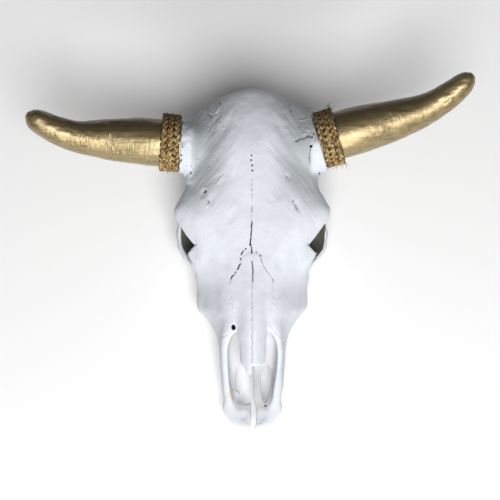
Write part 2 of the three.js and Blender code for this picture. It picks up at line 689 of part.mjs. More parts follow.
function cranium() {
  let bone = netted(skull, [-135, -52, -206], [135, 264, 22], CELL.cranium);
  bone = bone.intersect(acrossSkull(grown(CRANIUM_SIDE, -GAP / 2), -FAR, FAR));
  bone = bone.subtract(noseBeds).subtract(underFloor);
  for (const [name, side] of Object.entries(sides)) {
    bone = bone.subtract(hornSocket(hornAxis[name])).subtract(cheekboneBlock(side, GAP / 2));
  }
  return largest(bone);
}

function maxilla(side) {
  let bone = netted(skull, [-112, -176, -146], [112, 80, 24], CELL.jaw);
  bone = bone.intersect(acrossSkull(grown(JAW_SIDE, -GAP / 2), -FAR, FAR)).intersect(halves(side, GAP / 2));
  bone = bone.subtract(noseBeds).subtract(cheekboneBlock(side, GAP / 2));
  return largest(bone.add(toothRow(side)));
}

function cheekbone(side) {
  const bone = netted(skull, [-126, -62, -122], [126, 104, -20], CELL.cheekbone);
  return largest(bone.intersect(cheekboneBlock(side, -GAP / 2)));
}

function muzzle(side) {
  let bone = netted(skull, [-66, -265, -92], [66, -86, 16], CELL.muzzle);
  bone = bone.intersect(acrossSkull(grown(MUZZLE_SIDE, -GAP / 2), -FAR, FAR)).intersect(halves(side, GAP / 2));
  return largest(bone.subtract(noseBeds));
}

// The scene: every bone in the tilted group, its origin on the floor under the middle of the whole
const tilted = new THREE.Group();
tilted.applyMatrix4(toRest);

function place(name, geometry, material) {
  const mesh = new THREE.Mesh(geometry, material);
  mesh.name = name;
  tilted.add(mesh);
}

function faceted(body) {
  const { vertProperties, triVerts } = body.getMesh();
  const geometry = new THREE.BufferGeometry();
  geometry.setAttribute("position", new THREE.BufferAttribute(vertProperties, 3));
  return geometry.setIndex(new THREE.BufferAttribute(triVerts, 1));
}

place("cranium", faceted(cranium()), bonePaint);
for (const [name, side] of Object.entries(sides)) {
  place(`nasal_${name}`, noseBone(name), bonePaint);
  place(`maxilla_${name}`, faceted(maxilla(side)), bonePaint);
  place(`premaxilla_${name}`, faceted(muzzle(side)), bonePaint);
  place(`zygomatic_${name}`, faceted(cheekbone(side)), bonePaint);
  place(`horn_${name}`, horn(hornAxis[name]), goldPaint);
  place(`rope_${name}`, rope(hornAxis[name]), juteFibre);
}

const cowSkull = new THREE.Group();
cowSkull.add(tilted);
cowSkull.updateMatrixWorld(true);
const box = new THREE.Box3().setFromObject(cowSkull, true);
tilted.position.x -= (box.min.x + box.max.x) / 2;
tilted.position.y -= (box.min.y + box.max.y) / 2;

export default cowSkull;
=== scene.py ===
# The looks of a white-painted cow skull with gold horns and jute ropes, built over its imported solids.
# Sizes are in millimetres in the skull's own face frame: x to the viewer's right, y up the face from
# the muzzle to the poll, z out of the face. Only what goes into Blender is turned into metres.
import math
import random

import bpy
import numpy as np
from mathutils import Matrix, Vector


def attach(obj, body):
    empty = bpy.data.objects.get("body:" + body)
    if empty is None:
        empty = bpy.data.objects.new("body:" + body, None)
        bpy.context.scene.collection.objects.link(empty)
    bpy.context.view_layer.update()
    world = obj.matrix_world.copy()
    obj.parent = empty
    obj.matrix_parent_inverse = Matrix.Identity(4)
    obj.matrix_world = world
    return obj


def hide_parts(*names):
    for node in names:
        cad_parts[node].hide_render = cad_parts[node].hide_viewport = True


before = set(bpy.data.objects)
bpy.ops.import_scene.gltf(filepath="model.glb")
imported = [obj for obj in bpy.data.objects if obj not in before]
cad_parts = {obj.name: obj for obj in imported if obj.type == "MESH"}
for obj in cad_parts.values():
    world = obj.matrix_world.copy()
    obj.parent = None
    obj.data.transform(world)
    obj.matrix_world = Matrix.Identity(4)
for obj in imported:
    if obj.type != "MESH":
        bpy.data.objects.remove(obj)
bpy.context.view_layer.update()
bpy.ops.object.select_all(action="DESELECT")
dice = random.Random(11)

# The face frame: the face slopes as the skull lies on its teeth and neck processes
REST_TILT = math.radians(13.8)
FLOOR_DEPTH = 143
FACE_ORIGIN = Vector((2.766, -16.84, FLOOR_DEPTH * math.cos(REST_TILT)))
TO_ROW = Matrix.Scale(0.001, 4) @ Matrix.Translation(FACE_ORIGIN) @ Matrix.Rotation(REST_TILT, 4, "X")
TO_FACE = TO_ROW.inverted()

# The camera looks straight at the face, so a place in the photograph is a line through the face plane
EYE = Vector((-3.2, 14.2, 2000))
FRAME_WIDTH = 710
PHOTO_SIZE = 500
PHOTO_MIDDLE = PHOTO_SIZE / 2


def face_point(px, py, z=0.0):
    across = (px - PHOTO_MIDDLE) * FRAME_WIDTH / PHOTO_SIZE
    up = (PHOTO_MIDDLE - py) * FRAME_WIDTH / PHOTO_SIZE
    near = (EYE.z - z) / EYE.z
    return Vector((EYE.x + across * near, EYE.y + up * near, z))


# Smooth fields: negative inside the bone, and two of them flow into each other over a width k
def join(a, b, k):
    h = np.maximum(k - np.abs(a - b), 0) / k
    return np.minimum(a, b) - h * h * k / 4


def overlap(a, b, k):
    return -join(-a, -b, k)


def carve(a, b, k):
    return -join(-a, b, k)


def ellipsoid(x, y, z, at, size):
    u = (x - at[0]) / size[0]
    v = (y - at[1]) / size[1]
    w = (z - at[2]) / size[2]
    near = np.sqrt(u * u + v * v + w * w)
    slope = np.sqrt((u / size[0]) ** 2 + (v / size[1]) ** 2 + (w / size[2]) ** 2)
    return near * (near - 1) / np.maximum(slope, 1e-6)


def bar(x, y, z, a, b, ra, rb):
    d = [b[i] - a[i] for i in range(3)]
    p = (x - a[0], y - a[1], z - a[2])
    along = (p[0] * d[0] + p[1] * d[1] + p[2] * d[2]) / (d[0] ** 2 + d[1] ** 2 + d[2] ** 2)
    t = np.clip(along, 0, 1)
    away = np.sqrt((p[0] - d[0] * t) ** 2 + (p[1] - d[1] * t) ** 2 + (p[2] - d[2] * t) ** 2)
    return away - ra - (rb - ra) * t


def profile(*stations):
    ys = np.array([s[0] for s in stations], float)
    vs = np.array([s[1] for s in stations], float)
    last = len(ys) - 1
    before = np.maximum(np.arange(last + 1) - 1, 0)
    after = np.minimum(np.arange(last + 1) + 1, last)
    slope = (vs[after] - vs[before]) / (ys[after] - ys[before])

    def size(y):
        held = np.clip(y, ys[0], ys[-1])
        i = np.clip(np.searchsorted(ys, held, side="right") - 1, 0, last - 1)
        step = ys[i + 1] - ys[i]
        t = (held - ys[i]) / step
        rise = vs[i + 1] - vs[i]
        bend = t * (1 - t) * ((1 - t) * (slope[i] * step - rise) - t * (slope[i + 1] * step - rise))
        return vs[i] + rise * t + bend

    return size


def past_outline(across, y, width):
    lean = (width(y + 1) - width(y - 1)) / 2
    return (across - width(y)) / np.sqrt(1 + lean * lean)


# The forehead: flat between the eyes, narrowing to a ridge that ends in the domed poll
BROW_FOOT_Y = -45
POLL_Y = 248
BROW_THICK = 16
SHELF_SPAN = (8, 66)
SHELF_THICK = 8
ridge = profile((-170, -9), (-130, -2), (-90, 1), (-25, -3), (60, 4), (150, 5), (185, 0), (215, -13),
                (248, -38))
brow_width = profile((-45, 30), (-20, 46), (0, 64), (16, 78), (47, 102), (70, 113), (88, 105), (106, 96),
                     (130, 96), (155, 97), (180, 95), (195, 90), (208, 82), (226, 64), (237, 50),
                     (243, 37), (248, 14))
flat_width = profile((-45, 0), (0, 24), (60, 62), (90, 58), (150, 25), (200, 10), (248, 6))
brow_drop = profile((-45, 24), (16, 24), (68, 27), (106, 30), (150, 40), (190, 50), (220, 46), (248, 25))
brow_round = profile((100, 10), (200, 26))


def brow_top(x, y):
    flat = flat_width(y)
    across = np.clip((x - flat) / (brow_width(y) - flat), 0, 1.2)
    return ridge(y) - brow_drop(y) * across ** 1.7


def forehead(x, y, z):
    plate = overlap(past_outline(x, y, brow_width), z - brow_top(x, y), brow_round(y))
    plate = overlap(plate, ridge(y) - brow_drop(y) - BROW_THICK - z, 12)
    plate = overlap(plate, np.maximum(BROW_FOOT_Y - y, y - POLL_Y), 12)
    return join(plate, ellipsoid(x, y, z, (0, 170, -56), (88, 66, 42)), 26)


def brow_shelf(x, y, z):
    top = brow_top(x, y) - 1.6
    plate = overlap(overlap(past_outline(x, y, brow_width), z - top, 4), top - SHELF_THICK - z, 3)
    return overlap(plate, np.maximum(SHELF_SPAN[0] - y, y - SHELF_SPAN[1]), 6)


# The braincase, the back of the head and the base of the skull
def neck_hole(x, y, z):
    return ellipsoid(x, y, z, (0, 210, -139), (16, 42, 15))


def braincase(x, y, z):
    d = join(forehead(x, y, z), ellipsoid(x, y, z, (0, 140, -88), (70, 88, 60)), 20)
    d = join(d, ellipsoid(x, y, z, (0, 192, -88), (98, 27, 66)), 22)
    d = join(d, bar(x, y, z, (0, 192, -148), (0, 70, -128), 21, 17), 12)
    d = carve(d, ellipsoid(x, y, z, (108, 118, -68), (36, 46, 25)), 12)
    d = carve(d, ellipsoid(x, y, z, (76, 88, -128), (32, 42, 36)), 12)
    d = join(d, ellipsoid(x, y, z, (44, 142, -148), (15, 20, 20)), 8)
    d = join(d, bar(x, y, z, (62, 188, -130), (58, 182, -190), 14, 7), 12)
    d = join(d, ellipsoid(x, y, z, (29, 204, -160), (19, 17, 21)), 9)
    d = join(d, bar(x, y, z, (0, 219, -62), (52, 214, -70), 5, 4), 14)
    return carve(d, neck_hole(x, y, z), 4)


# The eye socket under the brow, the tear bone below it and the cheek arch behind it
SOCKET = (84.5, 30, -50)
SOCKET_AXIS = (0.857, -0.299, 0.419)
RIM_RADIUS = 33.5
RIM_TUBE = 7
TEAR_SPAN = (-75, 28)
TEAR_THICK = 20
ARCH = ((80, 9, -80), (91, 10.5, -83), (98.5, 21, -85), (101, 38, -87), (97, 66, -89), (86, 96, -93),
        (80, 122, -97), (72, 144, -98))


def along_socket(distance):
    return tuple(SOCKET[i] + SOCKET_AXIS[i] * distance for i in range(3))


def socket_rim(x, y, z):
    p = (x - SOCKET[0], y - SOCKET[1], z - SOCKET[2])
    out = p[0] * SOCKET_AXIS[0] + p[1] * SOCKET_AXIS[1] + p[2] * SOCKET_AXIS[2]
    away = np.sqrt(np.maximum(p[0] ** 2 + p[1] ** 2 + p[2] ** 2 - out * out, 0))
    return np.sqrt((away - RIM_RADIUS) ** 2 + out * out) - RIM_TUBE


def socket_hollow(x, y, z):
    mouth = bar(x, y, z, along_socket(24), along_socket(-6), 30, 33)
    d = join(mouth, bar(x, y, z, along_socket(-6), along_socket(-30), 33, 20), 6)
    d = overlap(d, brow_width(y) - 10 + np.minimum(z + 45, 0) - x, 6)
    return carve(d, np.maximum(tear_outline(x, y), -64 - z), 3)


tear_width = profile((-75, 46), (-60, 64), (-45, 73), (-30, 78), (-15, 82), (-5, 85.5), (2, 90.5),
                     (9.5, 93), (14, 89), (19.5, 83), (28, 68))


def tear_outline(x, y):
    ends = np.maximum(TEAR_SPAN[0] - y, y - TEAR_SPAN[1])
    return np.maximum(past_outline(x, y, tear_width), ends)


tear_slope = profile((-70, 1.45), (-40, 1.45), (-20, 1.05), (0, 0.65), (12, 0.5))
tear_start = profile((-70, 32), (-40, 37), (-20, 46), (0, 56), (20, 60))
tear_height = profile((-70, -9), (-40, -11), (-20, -14), (0, -17), (20, -17))
tear_round = profile((-60, 26), (-12, 14), (4, 5))


def tear_bone(x, y, z):
    past = x - tear_start(y)
    slope = tear_slope(y)
    top = tear_height(y) - slope * (past + np.sqrt(past * past + 144)) / 2
    plate = overlap(tear_outline(x, y), (z - top) / np.sqrt(1 + slope * slope), tear_round(y))
    return overlap(plate, top - TEAR_THICK - z, 8)


def cheek_arch(x, y, z):
    d = ellipsoid(x, y, z, (74, 142, -100), (25, 18, 12))
    for a, b in zip(ARCH, ARCH[1:]):
        d = join(d, bar(x, y, z, a, b, 10, 10), 8)
    return d


# The upper jaw runs on into the muzzle, with the nasal cavity open above and the palate for its floor
MUZZLE_Y = -247
JAW_BACK_Y = 46
CAVITY_BACK_Y = -92
CHEEK_LUMP = {"at": (69, -62, -84), "size": (10, 16, 11)}
jaw_top = profile((-247, -49), (-220, -52), (-198, -48), (-172, -40), (-140, -30), (-115, -19),
                  (-98, -10), (-82, -6), (-62, -5), (-42, -6.5), (-22, -10.5), (0, -18), (25, -26),
                  (50, -32))
roof_width = profile((-247, 8), (-235, 28), (-215, 39), (-190, 41), (-160, 43), (-128, 44), (-108, 40),
                     (-95, 36), (-80, 33), (-50, 34), (-28, 39), (0, 54), (20, 66), (50, 72))
roof_round = profile((-130, 6), (-95, 12), (-60, 16))
cheek_width = profile((-247, 10), (-245, 20), (-241, 28), (-232, 36), (-223, 42.4), (-214.5, 44),
                      (-205, 41.7), (-187, 44.8), (-160, 47.2), (-123, 49.8), (-106, 55), (-92, 64),
                      (-82, 72.5), (-76, 78), (-70, 80.5), (-64, 80.5), (-47, 79), (-20, 80.5), (0, 83),
                      (40, 85))
cheek_depth = profile((-247, -53), (-214, -58), (-187, -58), (-150, -62), (-123, -64), (-89, -72),
                      (-60, -82), (0, -82), (50, -90))
gum_width = profile((-247, 6), (-241, 24), (-223, 38), (-205, 38), (-150, 38), (-120, 40), (-95, 52),
                    (-60, 60), (0, 66), (45, 62))
gum_depth = profile((-247, -58), (-214, -64), (-160, -74), (-125, -81), (-105, -91), (-60, -105),
                    (0, -120), (40, -128))
palate_width = profile((-150, 20), (-100, 28), (-60, 34), (40, 38))
palate_vault = profile((-165, -8), (-135, 10), (-100, 15))
cavity_width = profile((-232, 10), (-222, 22), (-208, 28), (-190, 31), (-170, 33.5), (-128, 35),
                       (-112, 30.5), (-102, 22), (-94, 8))
cavity_floor = profile((-232, -48), (-214, -56), (-190, -60), (-160, -65), (-130, -56), (-105, -45),
                       (-92, -38))
muzzle_seam = profile((20, -93), (26, -99), (31, -106), (40, -112), (52, -114))
MUZZLE_STEP = 1.3


def upper_jaw(x, y, z):
    top = jaw_top(y)
    middle = cheek_depth(y)
    bottom = gum_depth(y)
    down = np.clip((top - z) / (top - middle), 0, 1) ** 0.85
    under = np.clip((middle - z) / (middle - bottom), 0, 1) ** 2
    roof, cheek = roof_width(y), cheek_width(y)
    width = roof + (cheek - roof) * down + (gum_width(y) - cheek) * under
    d = overlap((x - width) * 0.75, z - top, roof_round(y))
    d = overlap(d, bottom - z, 7)
    d = overlap(d, np.maximum(MUZZLE_Y - y, y - JAW_BACK_Y), 6)
    d = join(d, ellipsoid(x, y, z, **CHEEK_LUMP), 10)
    fade = np.clip((y + 190) / 60, 0, 1) * np.clip((47 - x) / 14, 0, 1)
    d = d + MUZZLE_STEP * np.clip((muzzle_seam(x) - y) / 6, 0, 1) * fade
    return carve(d, overlap(x - palate_width(y), z - bottom - palate_vault(y), 10), 6)


def nasal_cavity(x, y, z):
    sides = overlap(past_outline(x, y, cavity_width), cavity_floor(y) - z, 12)
    return overlap(sides, y - CAVITY_BACK_Y, 8)


# The slots through the palate: the left one has lost the rod of bone that still edges the right one
slot_left = profile((-212, 5), (-208, 9), (-202, 11), (-194, 12.8), (-180, 13), (-168, 12.5), (-160, 10),
                    (-154, 4))
slot_right = profile((-209, 0.5), (-203, 3.5), (-192, 6.6), (-180, 8), (-166, 7.5), (-160, 6), (-155, 2))
split_middle = profile((-247, 0.6), (-232, 2.2), (-212, 1.2), (-200, 1))
split_width = profile((-247, 2.9), (-232, 3.9), (-214, 3.4), (-200, 1.2))


def palate_slots(px, y):
    ragged = 0.8 * np.sin(px * 0.9 + 1) + 0.7 * np.sin(px * 2.1)
    left = np.abs(px + 10.7) - slot_left(y + ragged * (y < -198)) + 0.5 * np.sin(y * 0.8)
    left = carve(left, np.hypot(px + 23.2, y + 196) - 5.5, 1.5)
    lost = np.maximum(np.maximum(-px - 12, px - 2.2), np.maximum(-209 - y, y + 150))
    right = np.abs(px - 20 - (y + 180) * 0.06) - slot_right(y)
    ends = np.maximum(-211 - y, y + 153)
    slots = overlap(np.minimum(left, right), ends, 4)
    split = overlap(np.abs(px - split_middle(y)) - split_width(y), y + 200, 3)
    return np.minimum(np.minimum(slots, split), lost)


# The nose bones: two arched plates, the left one longer and tongue-shaped at its tip
nose_width_left = profile((-163, 2), (-162, 5), (-160, 7.5), (-157, 9), (-153, 10.2), (-151.5, 12),
                          (-149.5, 14.5), (-146, 16.5), (-115, 19), (-90, 24), (-60, 28.5), (-30, 31),
                          (-18, 22), (-8, 15), (3, 12), (8, 5))
nose_width_right = profile((-151, 5), (-150, 11), (-148, 15), (-144, 18), (-115, 20.5), (-90, 25),
                           (-60, 28.5), (-30, 31.5), (-18, 22), (-8, 16), (3, 13), (8, 5))
nose_arch = profile((-160, 23), (-100, 19), (-30, 10.5), (8, 6))
nose_rise = profile((-160, 4), (-60, 4.5), (8, 0.5))
NOSE_TIP_Y = {-1: -163, 1: -151}
NOSE_ROOT_Y = 8
NOSE_THICK = 5.5
SEAM = 0.3


def nose_top(x, y):
    groove = 1.2 * np.exp(-((x / 3) ** 2))
    return ridge(y) + nose_rise(y) - nose_arch(y) * (x / 24) ** 2.2 - groove


def nose_outline(x, y, side):
    width = nose_width_left if side < 0 else nose_width_right
    ends = np.maximum(y - NOSE_ROOT_Y, NOSE_TIP_Y[side] - y)
    return np.maximum(past_outline(x, y, width), ends)


def nose_plates(px, y, z):
    top = nose_top(np.abs(px), y)
    outline = np.where(px < 0, nose_outline(-px, y, -1), nose_outline(px, y, 1))
    return overlap(overlap(outline, z - top, 3), top - NOSE_THICK - z, 2)


# The horns follow the solids' curves. Their cores are cut where the horns begin, in plaster collars
HORN_PATH = {
    "left": ((-103, 168, -33), (-151, 170.8, -31), (-209, 173.5, -27), (-255, 178, -20), (-290, 189.5, -10),
             (-319, 206, 0)),
    "right": ((96.5, 171.5, -33), (146, 185.5, -30), (204, 201, -26), (250, 216.5, -19), (285, 238, -9),
              (312, 261.5, 2)),
}
HORN_LEAN = {"left": (-0.998, 0.058, 0.042), "right": (0.961, 0.272, 0.058)}
ROOT_REACH = 66


def horn_cores(px, y, z):
    left = bar(px, y, z, (-72, 163, -46), (-120, 167, -33), 24, 36)
    left = join(left, bar(px, y, z, (-97, 164, -36), (-120, 164, -34), 36, 38), 8)
    right = bar(px, y, z, (62, 163, -40), (120, 174, -32), 35, 37)
    right = join(right, bar(px, y, z, (46, 186, -58), (96, 176, -42), 42, 40), 12)
    right = join(right, bar(px, y, z, (90, 165, -35), (120, 170, -34), 39, 39), 8)
    return np.minimum(left, right)


def skull(px, y, z):
    x = np.abs(px)
    d = join(braincase(x, y, z), carve(upper_jaw(x, y, z), nasal_cavity(x, y, z), 4), 20)
    d = carve(d, palate_slots(px, y), 2)
    d = join(d, nose_plates(px, y, z), 5)
    d = join(d, ellipsoid(x, y, z, (27, 66, -120), (7, 40, 22)), 8)
    d = carve(d, ellipsoid(x, y, z, (0, 62, -122), (18, 36, 14)), 6)
    d = join(d, cheek_arch(x, y, z), 10)
    d = join(d, socket_rim(x, y, z), 10)
    d = join(d, tear_bone(x, y, z), 16)
    d = carve(d, socket_hollow(x, y, z), 2)
    d = join(d, brow_shelf(x, y, z), 2)
    d = join(d, horn_cores(px, y, z), 14)
    for name, along in HORN_LEAN.items():
        at = HORN_PATH[name][0]
        past = (px - at[0]) * along[0] + (y - at[1]) * along[1] + (z - at[2]) * along[2]
        beside = np.sqrt((y - at[1]) ** 2 + (z - at[2]) ** 2) - ROOT_REACH
        d = overlap(d, past + SEAM - np.maximum(beside, 0) * 4, 2)
    floor = -FLOOR_DEPTH - math.tan(REST_TILT) * y
    return overlap(d, floor - z, 1)


BLOCK_CELL = 2.1
BLOCK_LOW = (-130, -256, -200)
BLOCK_HIGH = (130, 256, 22)
SETTLE_TURNS = 3
FILL_TURNS = 6


# Nets a field: one corner for each grid cell that the surface crosses, moved onto the surface
def settle(points, field, reach):
    for _ in range(SETTLE_TURNS):
        value = field(*points.T)
        slope = np.stack([(field(*(points + np.eye(3)[i] * 0.2).T) - value) / 0.2 for i in range(3)], 1)
        steep = np.maximum((slope * slope).sum(1), 0.05)
        points -= slope * np.clip(value / steep, -reach, reach)[:, None]


def fill_touching(value):
    corner = [value[i:i + value.shape[0] - 1, j:j + value.shape[1] - 1, k:k + value.shape[2] - 1]
              for i in (0, 1) for j in (0, 1) for k in (0, 1)]
    for _ in range(FILL_TURNS):
        for a, b, c, d in ((0, 4, 6, 2), (0, 2, 3, 1), (0, 4, 5, 1)):
            four = [corner[n] for n in (a, b, c, d)]
            inside = [f < 0 for f in four]
            crossed = (inside[0] == inside[2]) & (inside[1] == inside[3]) & (inside[0] != inside[1])
            for f, filled in zip(four, inside):
                f[crossed & ~filled] = -0.02


def netted(name, field, low, high, cell):
    axes = [np.arange(low[i], high[i] + cell, cell) for i in range(3)]
    value = np.broadcast_to(field(axes[0][:, None, None], axes[1][None, :, None], axes[2][None, None, :]),
                            [len(a) for a in axes]).copy()
    fill_touching(value)
    inside = value < 0
    n = [s - 1 for s in value.shape]
    filled = sum(inside[i:i + n[0], j:j + n[1], k:k + n[2]].astype(np.int8)
                 for i in (0, 1) for j in (0, 1) for k in (0, 1))
    cells = np.argwhere((filled > 0) & (filled < 8))
    number = np.full(n, -1)
    number[tuple(cells.T)] = np.arange(len(cells))
    total = np.zeros((len(cells), 3))
    count = np.zeros(len(cells))
    for axis in range(3):
        for j in (0, 1):
            for k in (0, 1):
                near = np.insert(np.array([j, k]), axis, 0)
                far = np.insert(np.array([j, k]), axis, 1)
                va = value[tuple((cells + near).T)]
                vb = value[tuple((cells + far).T)]
                crossed = (va < 0) != (vb < 0)
                t = np.where(crossed, va / np.where(crossed, va - vb, 1), 0)
                spot = cells + near + t[:, None] * (far - near)
                total += np.where(crossed[:, None], spot, 0)
                count += crossed
    points = np.array(low) + total / count[:, None] * cell
    settle(points, field, cell * 0.3)
    quads = []
    for axis in range(3):
        u, v = np.eye(3, dtype=int)[(axis + 1) % 3], np.eye(3, dtype=int)[(axis + 2) % 3]
        step = np.eye(3, dtype=int)[axis]
        here = inside[:n[0], :n[1], :n[2]]
        there = inside[step[0]:step[0] + n[0], step[1]:step[1] + n[1], step[2]:step[2] + n[2]]
        edges = np.argwhere(here != there)
        out = here[tuple(edges.T)]
        ring = np.stack([number[tuple((edges - o).T)] for o in (0 * u, u, u + v, v)], 1)
        quads.append(np.where(out[:, None], ring, ring[:, ::-1]))
    mesh = bpy.data.meshes.new(name)
    row = points @ np.array(TO_ROW.to_3x3()).T + np.array(TO_ROW.translation)
    mesh.from_pydata(row.tolist(), [], np.concatenate(quads).tolist())
    mesh.validate()
    piece = bpy.data.objects.new(name, mesh)
    bpy.context.scene.collection.objects.link(piece)
    return piece


block = netted("block", skull, BLOCK_LOW, BLOCK_HIGH, BLOCK_CELL)


# Corners of a piece in the face frame, and where each is seen in the photograph
TURN = np.array(TO_ROW.to_3x3()) * 1000
PLACE = np.array(TO_ROW.translation) * 1000


def corners(piece):
    row = np.empty(3 * len(piece.data.vertices))
    piece.data.vertices.foreach_get("co", row)
    return (row.reshape(-1, 3) * 1000 - PLACE) @ TURN


def move_corners(piece, points):
    piece.data.vertices.foreach_set("co", ((points @ TURN.T + PLACE) * 0.001).ravel())
    piece.data.update()


def outward(piece):
    normals = np.empty(3 * len(piece.data.vertices))
    piece.data.vertex_normals.foreach_get("vector", normals)
    return normals.reshape(-1, 3) @ TURN


def in_photo(points):
    near = EYE.z / (EYE.z - points[:, 2]) * PHOTO_SIZE / FRAME_WIDTH
    return PHOTO_MIDDLE + (points[:, 0] - EYE.x) * near, PHOTO_MIDDLE - (points[:, 1] - EYE.y) * near


def select_only(piece):
    bpy.ops.object.select_all(action="DESELECT")
    piece.select_set(True)
    bpy.context.view_layer.objects.active = piece


# Smooth random lumps of one size
LATTICE = np.random.default_rng(5).random((32, 32, 32))


def lumps(points, size):
    spot = points / size
    whole = np.floor(spot).astype(int)
    part = spot - whole
    part = part * part * (3 - 2 * part)
    total = np.zeros(len(points))
    for i in (0, 1):
        for j in (0, 1):
            for k in (0, 1):
                step = np.array((i, j, k))
                share = np.abs(1 - step - part).prod(1)
                total += share * LATTICE[tuple(((whole + step) % 32).T)]
    return total * 2 - 1


def within(value, low, high):
    t = np.clip((value - low) / (high - low), 0, 1)
    return t * t * (3 - 2 * t)


# Marks on the bone, drawn through places in the photograph: seams, cracks and flakes, then pits and holes
def line(*path, width=0.8, depth=0.8, dark=1.0, gaps=0.0, wander=0.3):
    points = [Vector(path[0])]
    for start, end in zip(path, path[1:]):
        start, end = Vector(start), Vector(end)
        steps = max(1, round((end - start).length / 1.5))
        for i in range(1, steps + 1):
            shift = Vector((dice.uniform(-wander, wander), dice.uniform(-wander, wander)))
            points.append(start.lerp(end, i / steps) + shift)
    strength = [0.0 if dice.random() < gaps else dice.uniform(0.6, 1) for _ in points]
    return {"points": points, "strength": strength, "width": width, "depth": depth, "dark": dark}


def pit(px, py, across=1.0, down=1.0, depth=1.5, dark=1.0, turn=0.0):
    size = {"at": (px, py), "across": across, "down": down, "turn": math.radians(turn)}
    return {**size, "depth": depth, "dark": dark}


FOREHEAD_SEAM = [
    line((252, 173), (251.6, 186), (252.1, 200), (251.6, 214), (251.8, 222),
         width=0.55, depth=0.6, dark=0.6, gaps=0.3),
    line((251.8, 222), (251.4, 228), (251, 236), (250.4, 244), width=0.75, depth=1.2, gaps=0.0),
    line((251.4, 247), (251.6, 253), width=0.9, depth=1, dark=0.8, gaps=0.1),
]
NOSE_ROOT_SEAM = [
    line((246, 248.5), (242, 252.5), (241, 257), (240, 264), (237, 269.5), (233.5, 275), (230.5, 279.5),
         width=0.75, depth=1.0, gaps=0.2, wander=0.7),
    line((230.5, 279.5), (229.8, 283), width=0.8, depth=0.7, dark=0.5),
    line((255, 251.5), (260.4, 254.5), (261.2, 259.5),
         width=0.9, depth=1, dark=0.65, gaps=0.35, wander=0.6),
    line((261.2, 259.5), (264, 267), (269.5, 274.5), (273, 279), (273.3, 283),
         width=0.6, depth=0.7, dark=0.6, gaps=0.1),
]
NOSE_MIDDLE_SEAM = [
    line((252.2, 261), (252.7, 270), (252.5, 281), width=0.8, depth=1.0, gaps=0.0),
    line((252.4, 281), (252, 296), (252.1, 330), (252.1, 363), width=0.5, depth=0.6, dark=0.55, gaps=0.05),
]
NOSE_SIDE_SEAMS = [
    line((230.5, 297), (232.5, 308), (234.5, 319), width=0.7, depth=0.6, dark=0.35, gaps=0.35),
    line((273.3, 283), (273.5, 299), (271, 310), (270.2, 324), width=0.6, depth=0.7, dark=0.3, gaps=0.1),
]
TEAR_BONE_SEAMS = [
    line((215, 284), (219, 293), (224, 299), (230, 302), width=0.8, depth=0.5, dark=0.22, gaps=0.1),
    line((287, 279), (284, 292), (279, 298), (273.5, 300.5), width=0.8, depth=0.5, dark=0.22, gaps=0.2),
]
MUZZLE_SEAMS = [
    line((230.5, 331), (227, 334.5), (221, 337), width=0.8, depth=0.7, dark=0.25),
    line((271, 326), (275, 332), (281, 337.5), width=0.9, depth=0.8, dark=0.3),
]
HORN_ROOT_CRACKS = [
    line((289, 104), (291, 110), (292.5, 113), (294.5, 118), width=0.9, depth=1.2, dark=0.45, gaps=0.3),
    line((317, 134), (315.5, 140), (311.5, 146), width=0.5, depth=0.6, dark=0.5),
    line((311, 146), (309.6, 153), (309.3, 160), (310, 164), width=0.65, depth=0.8, dark=0.55, gaps=0.2),
    line((312, 163), (320, 159), (326, 158), width=0.6, depth=0.4, dark=0.1),
    line((314, 149), (320, 151), (325, 150), width=0.6, depth=0.4, dark=0.06),
    line((299, 120.5), (305, 119.5), (312, 118), width=1.4, depth=-0.9, dark=0, wander=0.6),
    line((295.5, 140.8), (298, 140), (300.5, 138), (304, 138.4), (308, 136.4), (311.5, 137.2),
         width=1.5, depth=2.2, dark=0.5, wander=0.7),
]
HORN_ROOT_CHIPS = [
    pit(299, 126.5, 1.5, 1.1, 1.5, 0.35, 30), pit(302.6, 129.5, 1.2, 1.2, 1.2, 0.2),
    pit(298.5, 122, 1.2, 1, 1.3, 0.3), pit(308, 129.5, 4.0, 2.6, -1.0, 0, 30),
    pit(304, 133.6, 4.0, 1.6, -0.8, 0, -10), pit(314, 133, 1.6, 2.2, 1.3, 0.35),
]
BARK_FLAKES = [
    line((209, 111), (212, 114), (217, 112), (219.5, 107), width=1.0, depth=-1.3, dark=0, gaps=0.1),
    line((208, 113.5), (211, 117), (214, 119), width=1.0, depth=1.5, dark=0.35, gaps=0.2),
    line((219.5, 102), (221, 104.5), width=0.8, depth=0.9, dark=0.5),
    line((207.5, 107), (208, 110), width=0.7, depth=0.8, dark=0.4),
    line((216, 118), (220, 121.5), width=1.0, depth=1.1, dark=0.2),
    line((205, 123), (210, 128), (208, 131), width=0.9, depth=1.0, dark=0.15, gaps=0.2),
    line((214, 131), (217, 127), (219, 124), width=0.9, depth=-1.0, dark=0),
    line((177, 207), (182, 213), width=0.6, depth=0.4, dark=0.1),
    line((180, 204), (186, 211), width=0.6, depth=0.4, dark=0.1),
    line((215, 183), (220, 176), (223, 173), width=1.1, depth=1.0, dark=0.05),
    line((232.7, 388.5), (233.3, 393), (233.2, 397.5), width=0.7, depth=0.8, dark=0.45),
]
